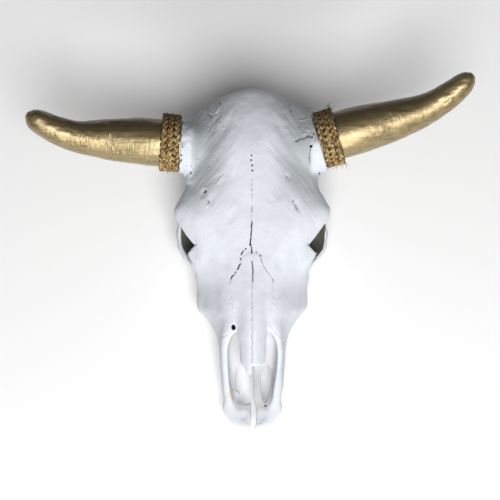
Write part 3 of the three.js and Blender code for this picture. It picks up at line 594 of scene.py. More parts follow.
VESSEL_HOLES = [
    pit(205.0, 191.6, 1.2, 2.2, 3.4, 0.6, 40), pit(208.7, 201.5, 0.9, 2.4, 2.2, 0.4, -8),
    pit(287, 176.5, 0.9, 2.4, 1.4, 0.2, -32), pit(293.6, 200.5, 0.9, 2.4, 1.8, 0.3, 25),
    pit(296.2, 206.5, 1.0, 4.6, 2.4, 0.32, -24), pit(233.6, 227.4, 0.8, 1.6, 0.5, 0.15, 50),
    pit(233.4, 327.7, 2.3, 3.4, 9, 1, -8), pit(265.4, 405.6, 1.3, 1.2, 2.2, 0.75),
    pit(247, 422, 2.2, 0.9, 1.0, 0.2, 20), pit(259, 423, 2.4, 1.0, 1.0, 0.25, -15),
    pit(266.5, 411.5, 0.8, 0.8, 0.7, 0.25), pit(257, 418, 0.8, 0.8, 0.7, 0.3),
    pit(311, 146.3, 1.7, 1.5, 4, 1), pit(319.5, 173.5, 1.1, 1.3, 1.6, 0.6),
    pit(317.5, 181, 0.9, 1.2, 1.4, 0.5), pit(190.6, 172.8, 0.9, 2.2, 2.2, 0.6, -15),
    pit(186.4, 177.5, 1.1, 0.9, 1.6, 0.55, 30), pit(191, 166.5, 0.8, 1.2, 1.2, 0.4),
    pit(181.2, 160.4, 1.0, 1.9, 1.8, 0.6, 25), pit(181.6, 155.2, 1.3, 1.1, 1.6, 0.6, 40),
    pit(182.8, 146.8, 0.9, 1.5, 1.4, 0.55, -20), pit(186.2, 166.2, 0.9, 0.7, 1.0, 0.4, 30),
    pit(184, 152.5, 0.7, 0.7, 0.8, 0.3), pit(186.5, 154, 0.6, 0.5, 0.8, 0.3),
    pit(187.5, 159, 0.6, 0.6, 0.8, 0.2), pit(184.8, 171.5, 0.7, 0.6, 0.9, 0.3),
]
SOFT_DENTS = [
    pit(203.5, 193.5, 5, 7, 1.6, 0, 35), pit(211, 200, 4, 8, 1.3, 0, -10),
    pit(297.5, 206, 4.5, 9, 1.7, 0, -22), pit(288, 177, 4, 6, 1.1, 0, -30),
    pit(216, 178, 3, 9, 0.9, 0, 48), pit(222, 183, 3, 8, 0.8, 0, 48), pit(244, 416, 6, 6, 1.6, 0),
    pit(262, 416, 6, 8, 1.7, 0), pit(232, 216, 6, 12, 1.0, 0, 30), pit(277, 190, 7, 14, 1.0, 0, -25),
    pit(225, 262, 7, 12, 1.3, 0, -20), pit(280, 262, 7, 12, 1.3, 0, 20), pit(214, 118, 6, 10, 1.2, 0, 30),
]
SEAM_DOTS = [
    pit(252, 148.6, 0.8, 0.7, 0.5, 0.3), pit(251.5, 155.3, 1.0, 0.9, 1.6), pit(251, 160, 1.0, 0.9, 1.6),
    pit(252.1, 165.2, 1.0, 1.1, 1.6), pit(252.4, 170.4, 1.0, 1.1, 1.4, 0.9),
    pit(250.4, 244.8, 1.2, 1.3, 2.2),
]
BONE_NUBS = [
    pit(212, 158.8, 1.1, 1.0, -1.1, 0), pit(208.7, 168.2, 1.1, 0.9, -0.9, 0),
    pit(223.8, 127.6, 1.3, 1.6, -1.1, 0, 20), pit(288, 129, 1.3, 1.3, -0.9, 0),
    pit(205.8, 187.4, 1.4, 2.4, -1.4, 0, -20), pit(196.6, 159.6, 3.2, 1.4, -1.2, 0, 25),
    pit(207.2, 205.5, 1.6, 3.4, -0.8, 0, 15), pit(292.6, 204, 1.2, 5.2, -0.9, 0, -22),
    pit(213.8, 180.4, 0.8, 0.7, -0.6, 0), pit(230.4, 300.8, 1.1, 1.4, -0.9, 0),
    pit(229.8, 305.4, 1.0, 1.0, -0.7, 0), pit(274.3, 299.4, 1.3, 1.5, -1.0, 0),
    pit(274.6, 305.6, 1.1, 1.5, -0.9, 0),
]
# Small scratches along the fibres, dents and nubs, scattered over the forehead
FOREHEAD = {"left": 190, "right": 314, "top": 98, "bottom": 236}
MIDLINE = 252.2
SCATTERED = 30


def forehead_spot():
    px = dice.uniform(FOREHEAD["left"], FOREHEAD["right"])
    return px, dice.uniform(FOREHEAD["top"], FOREHEAD["bottom"])


def scattered_marks(count):
    marks = []
    for _ in range(count):
        px, py = forehead_spot()
        lean = Vector((math.copysign(0.6, px - MIDLINE), 0.8)) * dice.uniform(2.5, 7)
        depth = dice.choice((0.5, 0.4, -0.35, -0.5))
        width = dice.uniform(0.5, 0.9)
        marks.append(line((px, py), (px + lean.x, py + lean.y), width=width, depth=depth, dark=0))
        spot = forehead_spot()
        across = dice.uniform(0.7, 1.3)
        down = dice.uniform(0.7, 1.3)
        marks.append(pit(*spot, across, down, dice.choice((0.6, -0.5)), 0))
    return marks


# Where painted shade fills the depths of the eye sockets, up to the rims and the hooked edge of each tear
# bone
SOCKET_DEPTHS = (
    ((180.9, 229.5), (180.9, 238), (181.5, 244.6), (183.2, 249.2), (186.4, 254.5), (189.7, 258.1),
     (188.1, 255.1), (188.1, 253.2), (190.7, 250.9), (190.7, 248.9), (192.4, 247.6), (195, 246.3),
     (216, 246), (216, 205), (178, 205)),
    ((325.8, 228.5), (324.8, 234.7), (324.5, 241.3), (323.2, 249.2), (317.9, 255.8), (314.3, 257.8),
     (317.2, 253.8), (316.9, 252.8), (314.9, 252.2), (312.6, 250.5), (311.3, 247.6), (309, 246.6),
     (288, 246), (288, 205), (328, 205)),
)
SOCKET_EDGES = [line(*shape[:12], width=0.8, depth=0, dark=0, wander=0) for shape in SOCKET_DEPTHS]
SEAMS = FOREHEAD_SEAM + NOSE_ROOT_SEAM + NOSE_MIDDLE_SEAM + NOSE_SIDE_SEAMS + TEAR_BONE_SEAMS + MUZZLE_SEAMS
LINES = SOCKET_EDGES + SEAMS + HORN_ROOT_CRACKS + BARK_FLAKES
PITS = VESSEL_HOLES + HORN_ROOT_CHIPS + SEAM_DOTS + BONE_NUBS + scattered_marks(SCATTERED)


def beside_line(px, py, mark):
    best = np.full(len(px), 99.0)
    strength = np.zeros(len(px))
    spans = list(zip(mark["points"], mark["points"][1:], mark["strength"], mark["strength"][1:]))
    for a, b, sa, sb in spans:
        dx, dy = b.x - a.x, b.y - a.y
        t = np.clip(((px - a.x) * dx + (py - a.y) * dy) / (dx * dx + dy * dy), 0, 1)
        away = np.hypot(px - a.x - t * dx, py - a.y - t * dy)
        closer = away < best
        best = np.where(closer, away, best)
        strength = np.where(closer, sa + (sb - sa) * t, strength)
    return best / mark["width"], strength


def beside_pit(px, py, mark):
    dx, dy = px - mark["at"][0], py - mark["at"][1]
    c, s = math.cos(mark["turn"]), math.sin(mark["turn"])
    away = np.hypot((dx * c + dy * s) / mark["across"], (dy * c - dx * s) / mark["down"])
    return away, np.ones(len(px))


def inside_shape(px, py, shape):
    inside = np.zeros(len(px), bool)
    edge = np.full(len(px), 99.0)
    for (ax, ay), (bx, by) in zip(shape, shape[1:] + shape[:1]):
        dx, dy = bx - ax, by - ay
        t = np.clip(((px - ax) * dx + (py - ay) * dy) / (dx * dx + dy * dy), 0, 1)
        edge = np.minimum(edge, np.hypot(px - ax - t * dx, py - ay - t * dy))
        if dy:
            inside ^= ((ay > py) != (by > py)) & (px < ax + (py - ay) / dy * dx)
    return np.where(inside, edge, -edge)


def mark_box(mark):
    if "at" in mark:
        reach = max(mark["across"], mark["down"]) + 2
        return mark["at"][0] - reach, mark["at"][0] + reach, mark["at"][1] - reach, mark["at"][1] + reach
    xs = [p.x for p in mark["points"]]
    ys = [p.y for p in mark["points"]]
    return min(xs) - 3, max(xs) + 3, min(ys) - 3, max(ys) + 3


def pressed(marks, px, py, front):
    depth = np.zeros(len(px))
    dark = np.zeros(len(px))
    near = np.zeros(len(px), bool)
    for mark in marks:
        left, right, top, bottom = mark_box(mark)
        chosen = np.flatnonzero(front & (px > left) & (px < right) & (py > top) & (py < bottom))
        beside = beside_pit if "at" in mark else beside_line
        away, strength = beside(px[chosen], py[chosen], mark)
        into = within(1 - away, 0, 0.8) * strength
        deeper = np.abs(mark["depth"] * into) > np.abs(depth[chosen])
        depth[chosen] = np.where(deeper, mark["depth"] * into, depth[chosen])
        dark[chosen] = np.maximum(dark[chosen], mark["dark"] * within(1.15 - away, 0, 0.5) * strength)
        near[chosen] |= away < 1.1 + 0.4 / mark.get("width", 1.0)
    return depth, dark, near


# Weathering: soft lumps all over, fibres that run up to the poll, and rough plaster by the horns.
# The edges of each are places in the photograph.
ROUGH_ABOVE = 175
FIBRES_ABOVE = 255
WEATHERED_ABOVE = 455
LEFT_PLASTER = {"inner": 195, "top": 120, "bottom": 186}
RIGHT_PLASTER = {"inner": 308, "top": 138, "bottom": 176}


def on_plaster(px, py, plaster, side, inner, top, bottom):
    past = within((px - plaster["inner"]) * side, *inner)
    return past * within(py - plaster["top"], *top) * within(plaster["bottom"] - py, *bottom)


def weathering(points, px, py):
    rough = 1 + 1.2 * within(ROUGH_ABOVE - py, 0, 75)
    swell = 1.4 * lumps(points, 38) + 0.35 * lumps(points, 15) + 0.18 * rough * lumps(points, 6)
    side = np.abs(points[:, 0])
    along = 0.8 * points[:, 1] - 0.6 * side
    across = 0.8 * side + 0.6 * points[:, 1]
    level = np.zeros(len(points))
    fibres = lumps(np.stack([across, along / 6, level], 1), 3.6)
    strands = lumps(np.stack([across, along / 4, level + 40], 1), 9)
    fibrous = within(FIBRES_ABOVE - py, 0, 60) * within(side, 8, 40)
    swell += (0.34 * fibres + 0.4 * strands) * rough * fibrous
    left = on_plaster(px, py, LEFT_PLASTER, -1, (0, 5), (0, 10), (0, 4))
    right = on_plaster(px, py, RIGHT_PLASTER, 1, (0, 3), (0, 6), (0, 6))
    swell = swell * within(WEATHERED_ABOVE - py, 0, 80) * (1 - 0.85 * right) + 0.6 * right
    return swell + left * (0.8 + 1.5 * lumps(points, 7) + 0.8 * lumps(points, 3.6))


FACING_FRONT = 0.22


def seen_from_front(piece):
    return outward(piece)[:, 2] > FACING_FRONT


def shift_out(piece, distance):
    moved = corners(piece) + outward(piece) * distance[:, None]
    floor = -FLOOR_DEPTH - math.tan(REST_TILT) * moved[:, 1]
    moved[:, 2] = np.maximum(moved[:, 2], floor)
    move_corners(piece, moved)


points = corners(block)
shift_out(block, weathering(points, *in_photo(points)))
points = corners(block)
dents = pressed(SOFT_DENTS, *in_photo(points), seen_from_front(block))[0]
shift_out(block, -dents)


def select_faces(piece, chosen):
    select_only(piece)
    bpy.ops.object.mode_set(mode="EDIT")
    bpy.ops.mesh.select_mode(type="FACE")
    bpy.ops.mesh.select_all(action="DESELECT")
    bpy.ops.object.mode_set(mode="OBJECT")
    piece.data.polygons.foreach_set("select", chosen)
    bpy.ops.object.mode_set(mode="EDIT")


points = corners(block)
near_mark = pressed(LINES + PITS, *in_photo(points), seen_from_front(block))[2]
select_faces(block, [bool(near_mark[list(face.vertices)].any()) for face in block.data.polygons])
bpy.ops.mesh.subdivide(number_cuts=2)
bpy.ops.object.mode_set(mode="OBJECT")
points = corners(block)
depth, dark = pressed(LINES + PITS, *in_photo(points), seen_from_front(block))[:2]
shift_out(block, -depth)
# Dark seams and cracks are the bone's own colour; the dark in holes and pits is painted shade
seam_dark_and_hole_shade = block.data.attributes.new("seam_dark_and_hole_shade", "FLOAT", "POINT")
seam_dark_and_hole_shade.data.foreach_set("value", dark)


# Cutters, each a closed skin over rows of points in the face frame
def lofted(name, rows):
    count = len(rows[0])
    faces = [list(range(count))[::-1], [(len(rows) - 1) * count + i for i in range(count)]]
    for i in range(len(rows) - 1):
        for j in range(count):
            after = (j + 1) % count
            faces.append([i * count + j, i * count + after, (i + 1) * count + after, (i + 1) * count + j])
    mesh = bpy.data.meshes.new(name)
    mesh.from_pydata([TO_ROW @ Vector(p) for row in rows for p in row], [], faces)
    piece = bpy.data.objects.new(name, mesh)
    bpy.context.scene.collection.objects.link(piece)
    select_only(piece)
    bpy.ops.object.mode_set(mode="EDIT")
    bpy.ops.mesh.select_all(action="SELECT")
    bpy.ops.mesh.normals_make_consistent(inside=False)
    bpy.ops.object.mode_set(mode="OBJECT")
    return piece


def across_skull(name, outline, start, end):
    return lofted(name, [[(x, y, z) for y, z in outline] for x in (start, end)])


# The seams between the bones, seen from the side
FAR = 400
ABOVE = 60
BELOW = -230
BROW_SEAM = ((-61, ABOVE), (-59, -6), (-34, -26), (6, -45), (48, -76), (62, -104), (58, BELOW))
MUZZLE_SEAM = ((-98, ABOVE), (-100, -12), (-126, -46), (-158, -76), (-160, BELOW))
CHEEKBONE = ((-50, -66), (-12, -56), (14, -60), (40, -58), (47, -38), (82, -38), (90, -66), (90, -112),
             (30, -106), (-20, -99), (-52, -88))
CHEEKBONE_INNER = 60
SIDES = {"left": -1, "right": 1}


def nose_edge(side, y):
    width = nose_width_left if side < 0 else nose_width_right
    zigzag = 0.7 * math.sin(y * 1.3) + 0.5 * math.sin(y * 2.9 + 1) if y > -30 else 0
    return float(width(y)) + zigzag + (6 if y < -100 else 0)


def nose_zone():
    rows = []
    for y in np.arange(NOSE_TIP_Y[-1] - 7, NOSE_ROOT_Y + 1.5, 1.0):
        start = -nose_edge(-1, y)
        end = nose_edge(1, y)
        low = float(nose_top(16, y)) - NOSE_THICK - 3
        rows.append([(start, y, 40), (end, y, 40), (end, y, low), (start, y, low)])
    return lofted("nose_zone", rows)


def cut_out(name, source, *cuts):
    piece = source.copy()
    piece.data = source.data.copy()
    piece.name = name
    bpy.context.scene.collection.objects.link(piece)
    select_only(piece)
    for operation, cutter in cuts:
        cut = piece.modifiers.new("cut", "BOOLEAN")
        cut.operation = operation
        cut.solver = "MANIFOLD"
        cut.object = cutter
        bpy.ops.object.modifier_apply(modifier="cut")
    return piece


def largest(piece):
    select_only(piece)
    name = piece.name
    bpy.ops.object.mode_set(mode="EDIT")
    bpy.ops.mesh.select_all(action="SELECT")
    bpy.ops.mesh.separate(type="LOOSE")
    bpy.ops.object.mode_set(mode="OBJECT")
    parts = sorted(bpy.context.selected_objects, key=lambda part: len(part.data.vertices))
    for scrap in parts[:-1]:
        bpy.data.objects.remove(scrap)
    parts[-1].name = name
    return parts[-1]


def bones():
    front = ((-FAR, BELOW), (-FAR, ABOVE))
    before_brow = across_skull("before_brow", BROW_SEAM + front, -FAR, FAR)
    before_muzzle = across_skull("before_muzzle", MUZZLE_SEAM + front, -FAR, FAR)
    nose = nose_zone()
    whole_side = [(-FAR, BELOW), (FAR, BELOW), (FAR, ABOVE), (-FAR, ABOVE)]
    cheek = {}
    half = {}
    for n, side in SIDES.items():
        cheek[n] = across_skull("cheek_zone", CHEEKBONE, side * CHEEKBONE_INNER, side * FAR)
        half[n] = across_skull("half", whole_side, 0, side * FAR)
    made = {}
    rest = block
    tools = [before_brow, before_muzzle, nose, *cheek.values(), *half.values()]
    for n in SIDES:
        made["zygomatic_" + n] = cut_out("cheek_" + n, rest, ("INTERSECT", cheek[n]))
    both_noses = cut_out("noses", rest, ("INTERSECT", nose))
    rest = cut_out("rest", rest, *(("DIFFERENCE", tool) for tool in (*cheek.values(), nose)))
    face = cut_out("face", rest, ("INTERSECT", before_brow))
    made["cranium"] = cut_out("cranium_bone", rest, ("DIFFERENCE", before_brow))
    for n in SIDES:
        mine = ("INTERSECT", half[n])
        made["nasal_" + n] = cut_out("nose_" + n, both_noses, mine)
        made["maxilla_" + n] = cut_out("jaw_" + n, face, ("DIFFERENCE", before_muzzle), mine)
        made["premaxilla_" + n] = cut_out("muzzle_" + n, face, ("INTERSECT", before_muzzle), mine)
    for tool in (*tools, both_noses, rest, face, block):
        bpy.data.objects.remove(tool)
    return {node: largest(piece) for node, piece in made.items()}


bone = bones()


# The horns: a round section that tapers along each curve
horn_radius = profile((0, 33.6), (0.08, 34), (0.17, 34.6), (0.27, 33.8), (0.48, 28.6), (0.69, 22),
                      (0.855, 18.5), (0.94, 15.5), (0.985, 10.5), (1, 6))


class HornAxis:
    """A smooth curve through the horn's points, read by the share of its length."""

    def __init__(self, path):
        points = [Vector(p) for p in path]
        points = [2 * points[0] - points[1], *points, 2 * points[-1] - points[-2]]
        spots = []
        for p0, p1, p2, p3 in zip(points, points[1:], points[2:], points[3:]):
            a, b, c = [(q - p).length ** 0.5 for p, q in ((p0, p1), (p1, p2), (p2, p3))]
            leave = ((p1 - p0) / a - (p2 - p0) / (a + b) + (p2 - p1) / b) * b
            arrive = ((p2 - p1) / b - (p3 - p1) / (b + c) + (p3 - p2) / c) * b
            for i in range(60):
                t = i / 60
                spots.append(p1 * (2 * t**3 - 3 * t**2 + 1) + p2 * (3 * t**2 - 2 * t**3)
                             + leave * (t**3 - 2 * t**2 + t) + arrive * (t**3 - t**2))
        self.spots = np.array([*spots, points[-2]])
        self.gone = np.concatenate([[0], np.cumsum(np.linalg.norm(np.diff(self.spots, axis=0), axis=1))])
        self.length = self.gone[-1]

    def at(self, share):
        return Vector([np.interp(share * self.length, self.gone, self.spots[:, i]) for i in range(3)])

    def frame(self, share):
        inside = min(max(share, 0.004), 0.996)
        along = (self.at(inside + 0.004) - self.at(inside - 0.004)).normalized()
        up = (Vector((0, 0, 1)) - along * along.z).normalized()
        return self.at(min(share, 1)), along, up, up.cross(along)


horn_axis = {name: HornAxis(path) for name, path in HORN_PATH.items()}


# Round sections swept along paths of (place, radius), made a closed mesh
def swept(name, paths, roundness):
    curve = bpy.data.curves.new(name, "CURVE")
    curve.dimensions = "3D"
    curve.bevel_depth = 0.001
    curve.bevel_resolution = roundness
    curve.use_fill_caps = True
    for path in paths:
        spline = curve.splines.new("POLY")
        spline.points.add(len(path) - 1)
        for point, (place, radius) in zip(spline.points, path):
            point.co = (*(TO_ROW @ Vector(place)), 1)
            point.radius = radius
    piece = bpy.data.objects.new(name, curve)
    bpy.context.scene.collection.objects.link(piece)
    select_only(piece)
    bpy.ops.object.convert(target="MESH")
    bpy.ops.object.mode_set(mode="EDIT")
    bpy.ops.mesh.select_all(action="SELECT")
    bpy.ops.mesh.remove_doubles(threshold=0.00001)
    bpy.ops.mesh.normals_make_consistent(inside=False)
    bpy.ops.object.mode_set(mode="OBJECT")
    bpy.ops.object.shade_smooth_by_angle(angle=math.radians(50))
    return bpy.context.object


# Painted shade: the side of a horn or rope turned away from the muzzle is painted darker
def shade_upper_side(piece, axis):
    points = corners(piece)
    middle = np.array([axis.at(t) for t in np.linspace(0, 1, 120)])
    out = points - middle[np.linalg.norm(points[:, None] - middle[None], axis=2).argmin(1)]
    rise = out[:, 1] / np.linalg.norm(out, axis=1)
    piece.data.attributes.new("upper_painted_shade", "FLOAT", "POINT").data.foreach_set("value", within(rise, 0.05, 0.85))


HORN_RINGS = 250
HORN_ROUNDNESS = 34
HORN_TIP_RADIUS = 6
HORN_TIP_DOME = 2.4
HORN_SCRATCHES = 90
HORN_MARKS = {
    "left": [
        line((111, 146), (115, 150), (121, 154), width=0.7, depth=0.6, dark=0, wander=0.2),
        line((70, 131), (76, 134), (85, 140), width=1.0, depth=0.7, dark=0),
        line((73, 128), (80, 131), (87, 136), width=0.9, depth=-0.6, dark=0),
        line((148, 124), (148.6, 140), (148.2, 166), width=0.6, depth=0.5, dark=0, wander=0.2),
        line((120, 127), (130, 129), (140, 128), width=0.7, depth=0.5, dark=0),
        line((107, 123), (109, 128), (110, 134), width=1.6, depth=-1.3, dark=0),
    ],
    "right": [
        line((382, 106), (382.6, 110), (382, 114), width=0.8, depth=0.8, dark=0),
        line((385, 118), (392, 114), (400, 112), width=0.7, depth=0.6, dark=0),
        line((386, 115), (394, 111), width=0.7, depth=-0.5, dark=0),
        line((372, 135), (380, 131), (392, 128), width=0.7, depth=0.5, dark=0),
        pit(387, 127, 1.4, 0.9, 0.8, 0, 30), pit(362, 130, 1.6, 0.8, 0.8, 0, -20),
    ],
}


def horn_scratches(axis):
    scratches = []
    for _ in range(HORN_SCRATCHES):
        share = dice.uniform(0.14, 0.96)
        (px, qx), (py, qy) = in_photo(np.array([axis.at(share), axis.at(share + 0.03)]))
        along = Vector((qx - px, qy - py)).normalized()
        across = Vector((-along.y, along.x))
        turned = along + across * dice.choice((0, 0, 0, 0.2, -0.2, 0.3, -0.4, 3)) * dice.uniform(0.4, 1)
        start = Vector((px, py)) + across * dice.uniform(-0.62, 0.62) * float(horn_radius(share))
        end = start + turned.normalized() * dice.uniform(2.5, 8)
        depth = dice.choice((0.45, 0.35, -0.35))
        scratches.append(line(start, end, width=dice.uniform(0.5, 0.8), depth=depth, dark=0, wander=0.2))
    return scratches


def horn(name):
    axis = horn_axis[name]
    path = [(axis.at(t), float(horn_radius(t))) for t in np.linspace(0, 1, HORN_RINGS)]
    end, along = axis.frame(1)[:2]
    for s in (0.35, 0.65, 0.88, 0.98):
        path.append((end + along * HORN_TIP_DOME * s, HORN_TIP_RADIUS * math.sqrt(1 - s * s)))
    piece = swept("horn_" + name + "_paint", [path], HORN_ROUNDNESS)
    points = corners(piece)
    middle = np.array([axis.at(t) for t in np.linspace(0, 1, 200)])
    share = np.linalg.norm(points[:, None] - middle[None], axis=2).argmin(1) / 199
    stretched = points * (0.22, 1, 1)
    swell = 0.9 * lumps(points, 34) + 0.35 * lumps(stretched, 7) + 0.2 * lumps(stretched, 3)
    swell = (swell + 0.2 * lumps(points, 5)) * within(share, 0.0, 0.12) * within(1 - share, 0, 0.05)
    move_corners(piece, points + outward(piece) * swell[:, None])
    points = corners(piece)
    marks = HORN_MARKS[name] + horn_scratches(axis)
    depth = pressed(marks, *in_photo(points), seen_from_front(piece))[0]
    move_corners(piece, points - outward(piece) * depth[:, None])
    shade_upper_side(piece, axis)
    return piece


# The rope: three turns round the horn's root, each a plait of three strands of jute
ROPE = {"turns": 3, "pitch": 8.9, "first": 6.0, "step_share": 0.22}
ROPE_STEPS = 720
PLAIT = {"length": 27, "sway": 2.9, "dip": 1.9, "strand": 2.05}
FIBRE_DROOP = 0.5


def rope_spot(axis, turn):
    part = turn - math.floor(turn)
    shift = float(within(np.array(part), 1 - ROPE["step_share"], 1))
    whole = min(math.floor(turn), ROPE["turns"] - 1)
    along = ROPE["first"] + ROPE["pitch"] * (whole + (shift if turn < ROPE["turns"] else 1))
    share = along / axis.length
    centre, ahead, up, across = axis.frame(share)
    angle = 2 * math.pi * turn - math.pi / 2
    out = across * math.cos(angle) + up * math.sin(angle)
    away = float(horn_radius(share)) + PLAIT["dip"] + PLAIT["strand"] + 0.2
    return centre + out * away, out, ahead


def strand_paths(axis):
    spots = [rope_spot(axis, ROPE["turns"] * i / ROPE_STEPS) for i in range(ROPE_STEPS + 1)]
    gone = [0.0]
    for a, b in zip(spots, spots[1:]):
        gone.append(gone[-1] + (b[0] - a[0]).length)
    paths = []
    for k in range(3):
        path = []
        for (spot, out, ahead), s in zip(spots, gone):
            phase = 2 * math.pi * (s / PLAIT["length"] + k / 3)
            slack = 1 + 0.16 * math.sin(s * 0.21 + k) + 0.1 * math.sin(s * 0.67)
            sway = ahead * PLAIT["sway"] * slack * math.sin(phase)
            dip = out * PLAIT["dip"] * math.sin(2 * phase)
            path.append((spot + sway + dip, PLAIT["strand"] * (1 + 0.12 * math.sin(s * 0.9 + 2 * k))))
        paths.append(path)
    return paths


def fibre(start, ahead, length, thickness):
    side = Vector((dice.uniform(-1, 1), dice.uniform(-1, 1), dice.uniform(-1, 1)))
    path = []
    for i in range(5):
        t = i / 4
        place = start + ahead * length * t + side * length * FIBRE_DROOP * t * t
        path.append((place, thickness * (1 - 0.6 * t)))
    return path


LOOSE_FIBRES = 330
TUFTS = {
    "left": ((165, 137, 5, 9), (180, 127, 4, 6), (172, 119, 4, 5), (163, 168, 5, 5), (181, 118, 4, 5)),
    "right": ((326, 105, 14, 7), (332, 108, 8, 6), (347, 164, 9, 10), (343, 168, 8, 8), (336, 172, 6, 6),
              (321, 116, 5, 5)),
}


def loose_fibres(name, paths):
    hairs = []
    axis = horn_axis[name]
    for _ in range(LOOSE_FIBRES):
        path = dice.choice(paths)
        i = dice.randrange(4, len(path) - 4)
        along = (path[i + 2][0] - path[i - 2][0]).normalized()
        out = (path[i][0] - axis.at(0.03)).normalized()
        lean = along * dice.choice((-1, 1)) * dice.uniform(0.6, 1.4) + out * dice.uniform(0.2, 0.9)
        length = dice.uniform(2.5, 7)
        thickness = dice.uniform(0.1, 0.24)
        hairs.append(fibre(path[i][0] + out * 1.2, lean.normalized(), length, thickness))
    middle = axis.at(0.06)
    places = [place for path in paths for place, _ in path]
    shown = in_photo(np.array(places))
    for px, py, count, length in TUFTS[name]:
        start = places[int(np.hypot(shown[0] - px, shown[1] - py).argmin())]
        lean = (start - middle).normalized() + (face_point(px, py, start.z) - start) * 0.2
        for _ in range(count):
            spread = Vector((dice.uniform(-1, 1), dice.uniform(-1, 1), dice.uniform(-0.6, 0.6)))
            ahead = (lean + spread * 0.9).normalized()
            hairs.append(fibre(start + spread * 1.5, ahead, length * dice.uniform(0.5, 1.1), 0.22))
    return hairs


def rope(name):
    paths = strand_paths(horn_axis[name])
    strands = swept("rope_" + name + "_plait", paths, 3)
    points = corners(strands)
    shares = np.linspace(0, 0.2, 60)
    # Painted shade where the strands lie in the gap against the horn
    away = np.linalg.norm(points[:, None] - np.array([horn_axis[name].at(t) for t in shares])[None], axis=2)
    gap_painted_shade = float(horn_radius(0.08)) + 2 * (PLAIT["dip"] + PLAIT["strand"]) - away.min(1)
    strands.data.attributes.new("gap_painted_shade", "FLOAT", "POINT").data.foreach_set("value", within(gap_painted_shade, 1.2, 4.2))
    hairs = swept("rope_" + name + "_fibres", loose_fibres(name, paths), 0)
    shade_upper_side(strands, horn_axis[name])
    shade_upper_side(hairs, horn_axis[name])
    return strands, hairs


# The cheek teeth stand in the gums: three of one lobe and three of two on each side, worn flat by chewing
TOOTH_LENGTHS = (16, 19, 20, 24, 27, 28)
TOOTH_WIDTHS = (15, 18, 20, 22, 22, 20)
TOOTH_ROW_START = -99
TOOTH_INSET = 14
TOOTH_ROOT = 14


def tooth_lobe(x, y, width, length, height):
    bpy.ops.mesh.primitive_cylinder_add(vertices=28, radius=1, depth=1, end_fill_type="NGON")
    lobe = bpy.context.object
    bpy.ops.object.mode_set(mode="EDIT")
    bpy.ops.mesh.select_all(action="DESELECT")
    bpy.ops.object.mode_set(mode="OBJECT")
    for face in lobe.data.polygons:
        face.select = face.normal.z < -0.9
    bpy.ops.object.mode_set(mode="EDIT")
    bpy.ops.mesh.inset(thickness=0.16, depth=0)
    bpy.ops.mesh.inset(thickness=0.1, depth=-0.03)
    bpy.ops.object.mode_set(mode="OBJECT")
    for corner in lobe.data.vertices:
        angle = math.atan2(corner.co.y, corner.co.x)
        ribs = 0.07 * (1 + math.cos(2 * angle)) * abs(math.sin(3 * angle))
        flute = 1 - ribs - 0.05 * (1 - math.cos(4 * angle))
        taper = 0.96 + 0.12 * (corner.co.z + 0.5)
        corner.co.x = x + corner.co.x * flute * taper * width / 2
        corner.co.y = y + corner.co.y * flute * taper * length / 2
        corner.co.z = (corner.co.z + 0.5) * height
    edge = lobe.modifiers.new("worn edge", "BEVEL")
    edge.width = 0.0007
    edge.segments = 2
    edge.limit_method = "ANGLE"
    edge.angle_limit = math.radians(50)
    bpy.ops.object.modifier_apply(modifier="worn edge")
    bpy.ops.object.shade_smooth_by_angle(angle=math.radians(40))
    return lobe


def tooth_row(name):
    side = SIDES[name]
    start = (TO_ROW @ Vector((0, TOOTH_ROW_START, -FLOOR_DEPTH))).y
    lobes = []
    for i, (length, width) in enumerate(zip(TOOTH_LENGTHS, TOOTH_WIDTHS)):
        count = 1 if i < 3 else 2
        for lobe in range(count):
            y = start + length * 0.001 * (lobe + 0.5) / count
            face_y = (TO_FACE @ Vector((0, y, 0))).y
            gum = (TO_ROW @ Vector((0, face_y, float(gum_depth(face_y))))).z
            x = side * (float(gum_width(face_y)) - TOOTH_INSET) * 0.001 + FACE_ORIGIN.x * 0.001
            height = gum + TOOTH_ROOT * 0.001
            lobes.append(tooth_lobe(x, y, width * 0.001, length * 0.00104 / count, height))
        start += length * 0.001
    bpy.ops.object.select_all(action="DESELECT")
    for lobe in lobes:
        lobe.select_set(True)
    bpy.context.view_layer.objects.active = lobes[0]
    bpy.ops.object.join()
    lobes[0].name = "teeth_" + name
    return lobes[0]


horns = {name: horn(name) for name in SIDES}
ropes = {name: rope(name) for name in SIDES}
teeth = {name: tooth_row(name) for name in SIDES}


# What is not plain white: painted shade in the deep eye sockets and neck hole, painted shade with a warm
# tint in the nasal cavity, and a stain on the muzzle
MUZZLE_STAIN = pit(230.5, 394.5, 3.6, 5.5)
MUZZLE_STAIN_DEPTH = -75
FOREHEAD_FOOT = 228


# Painted shade on the falling sides of the forehead, but not on the plaster at the horn roots
def forehead_side_shade(px, py):
    painted_side_shade = within(np.abs(px - MIDLINE), 14, 46) * within(FOREHEAD_FOOT - py, 0, 58)
    left = on_plaster(px, py, LEFT_PLASTER, -1, (-2, 6), (4, 18), (0, 4))
    right = on_plaster(px, py, RIGHT_PLASTER, 1, (0, 6), (0, 6), (0, 6))
    return painted_side_shade * (1 - np.maximum(left, right))


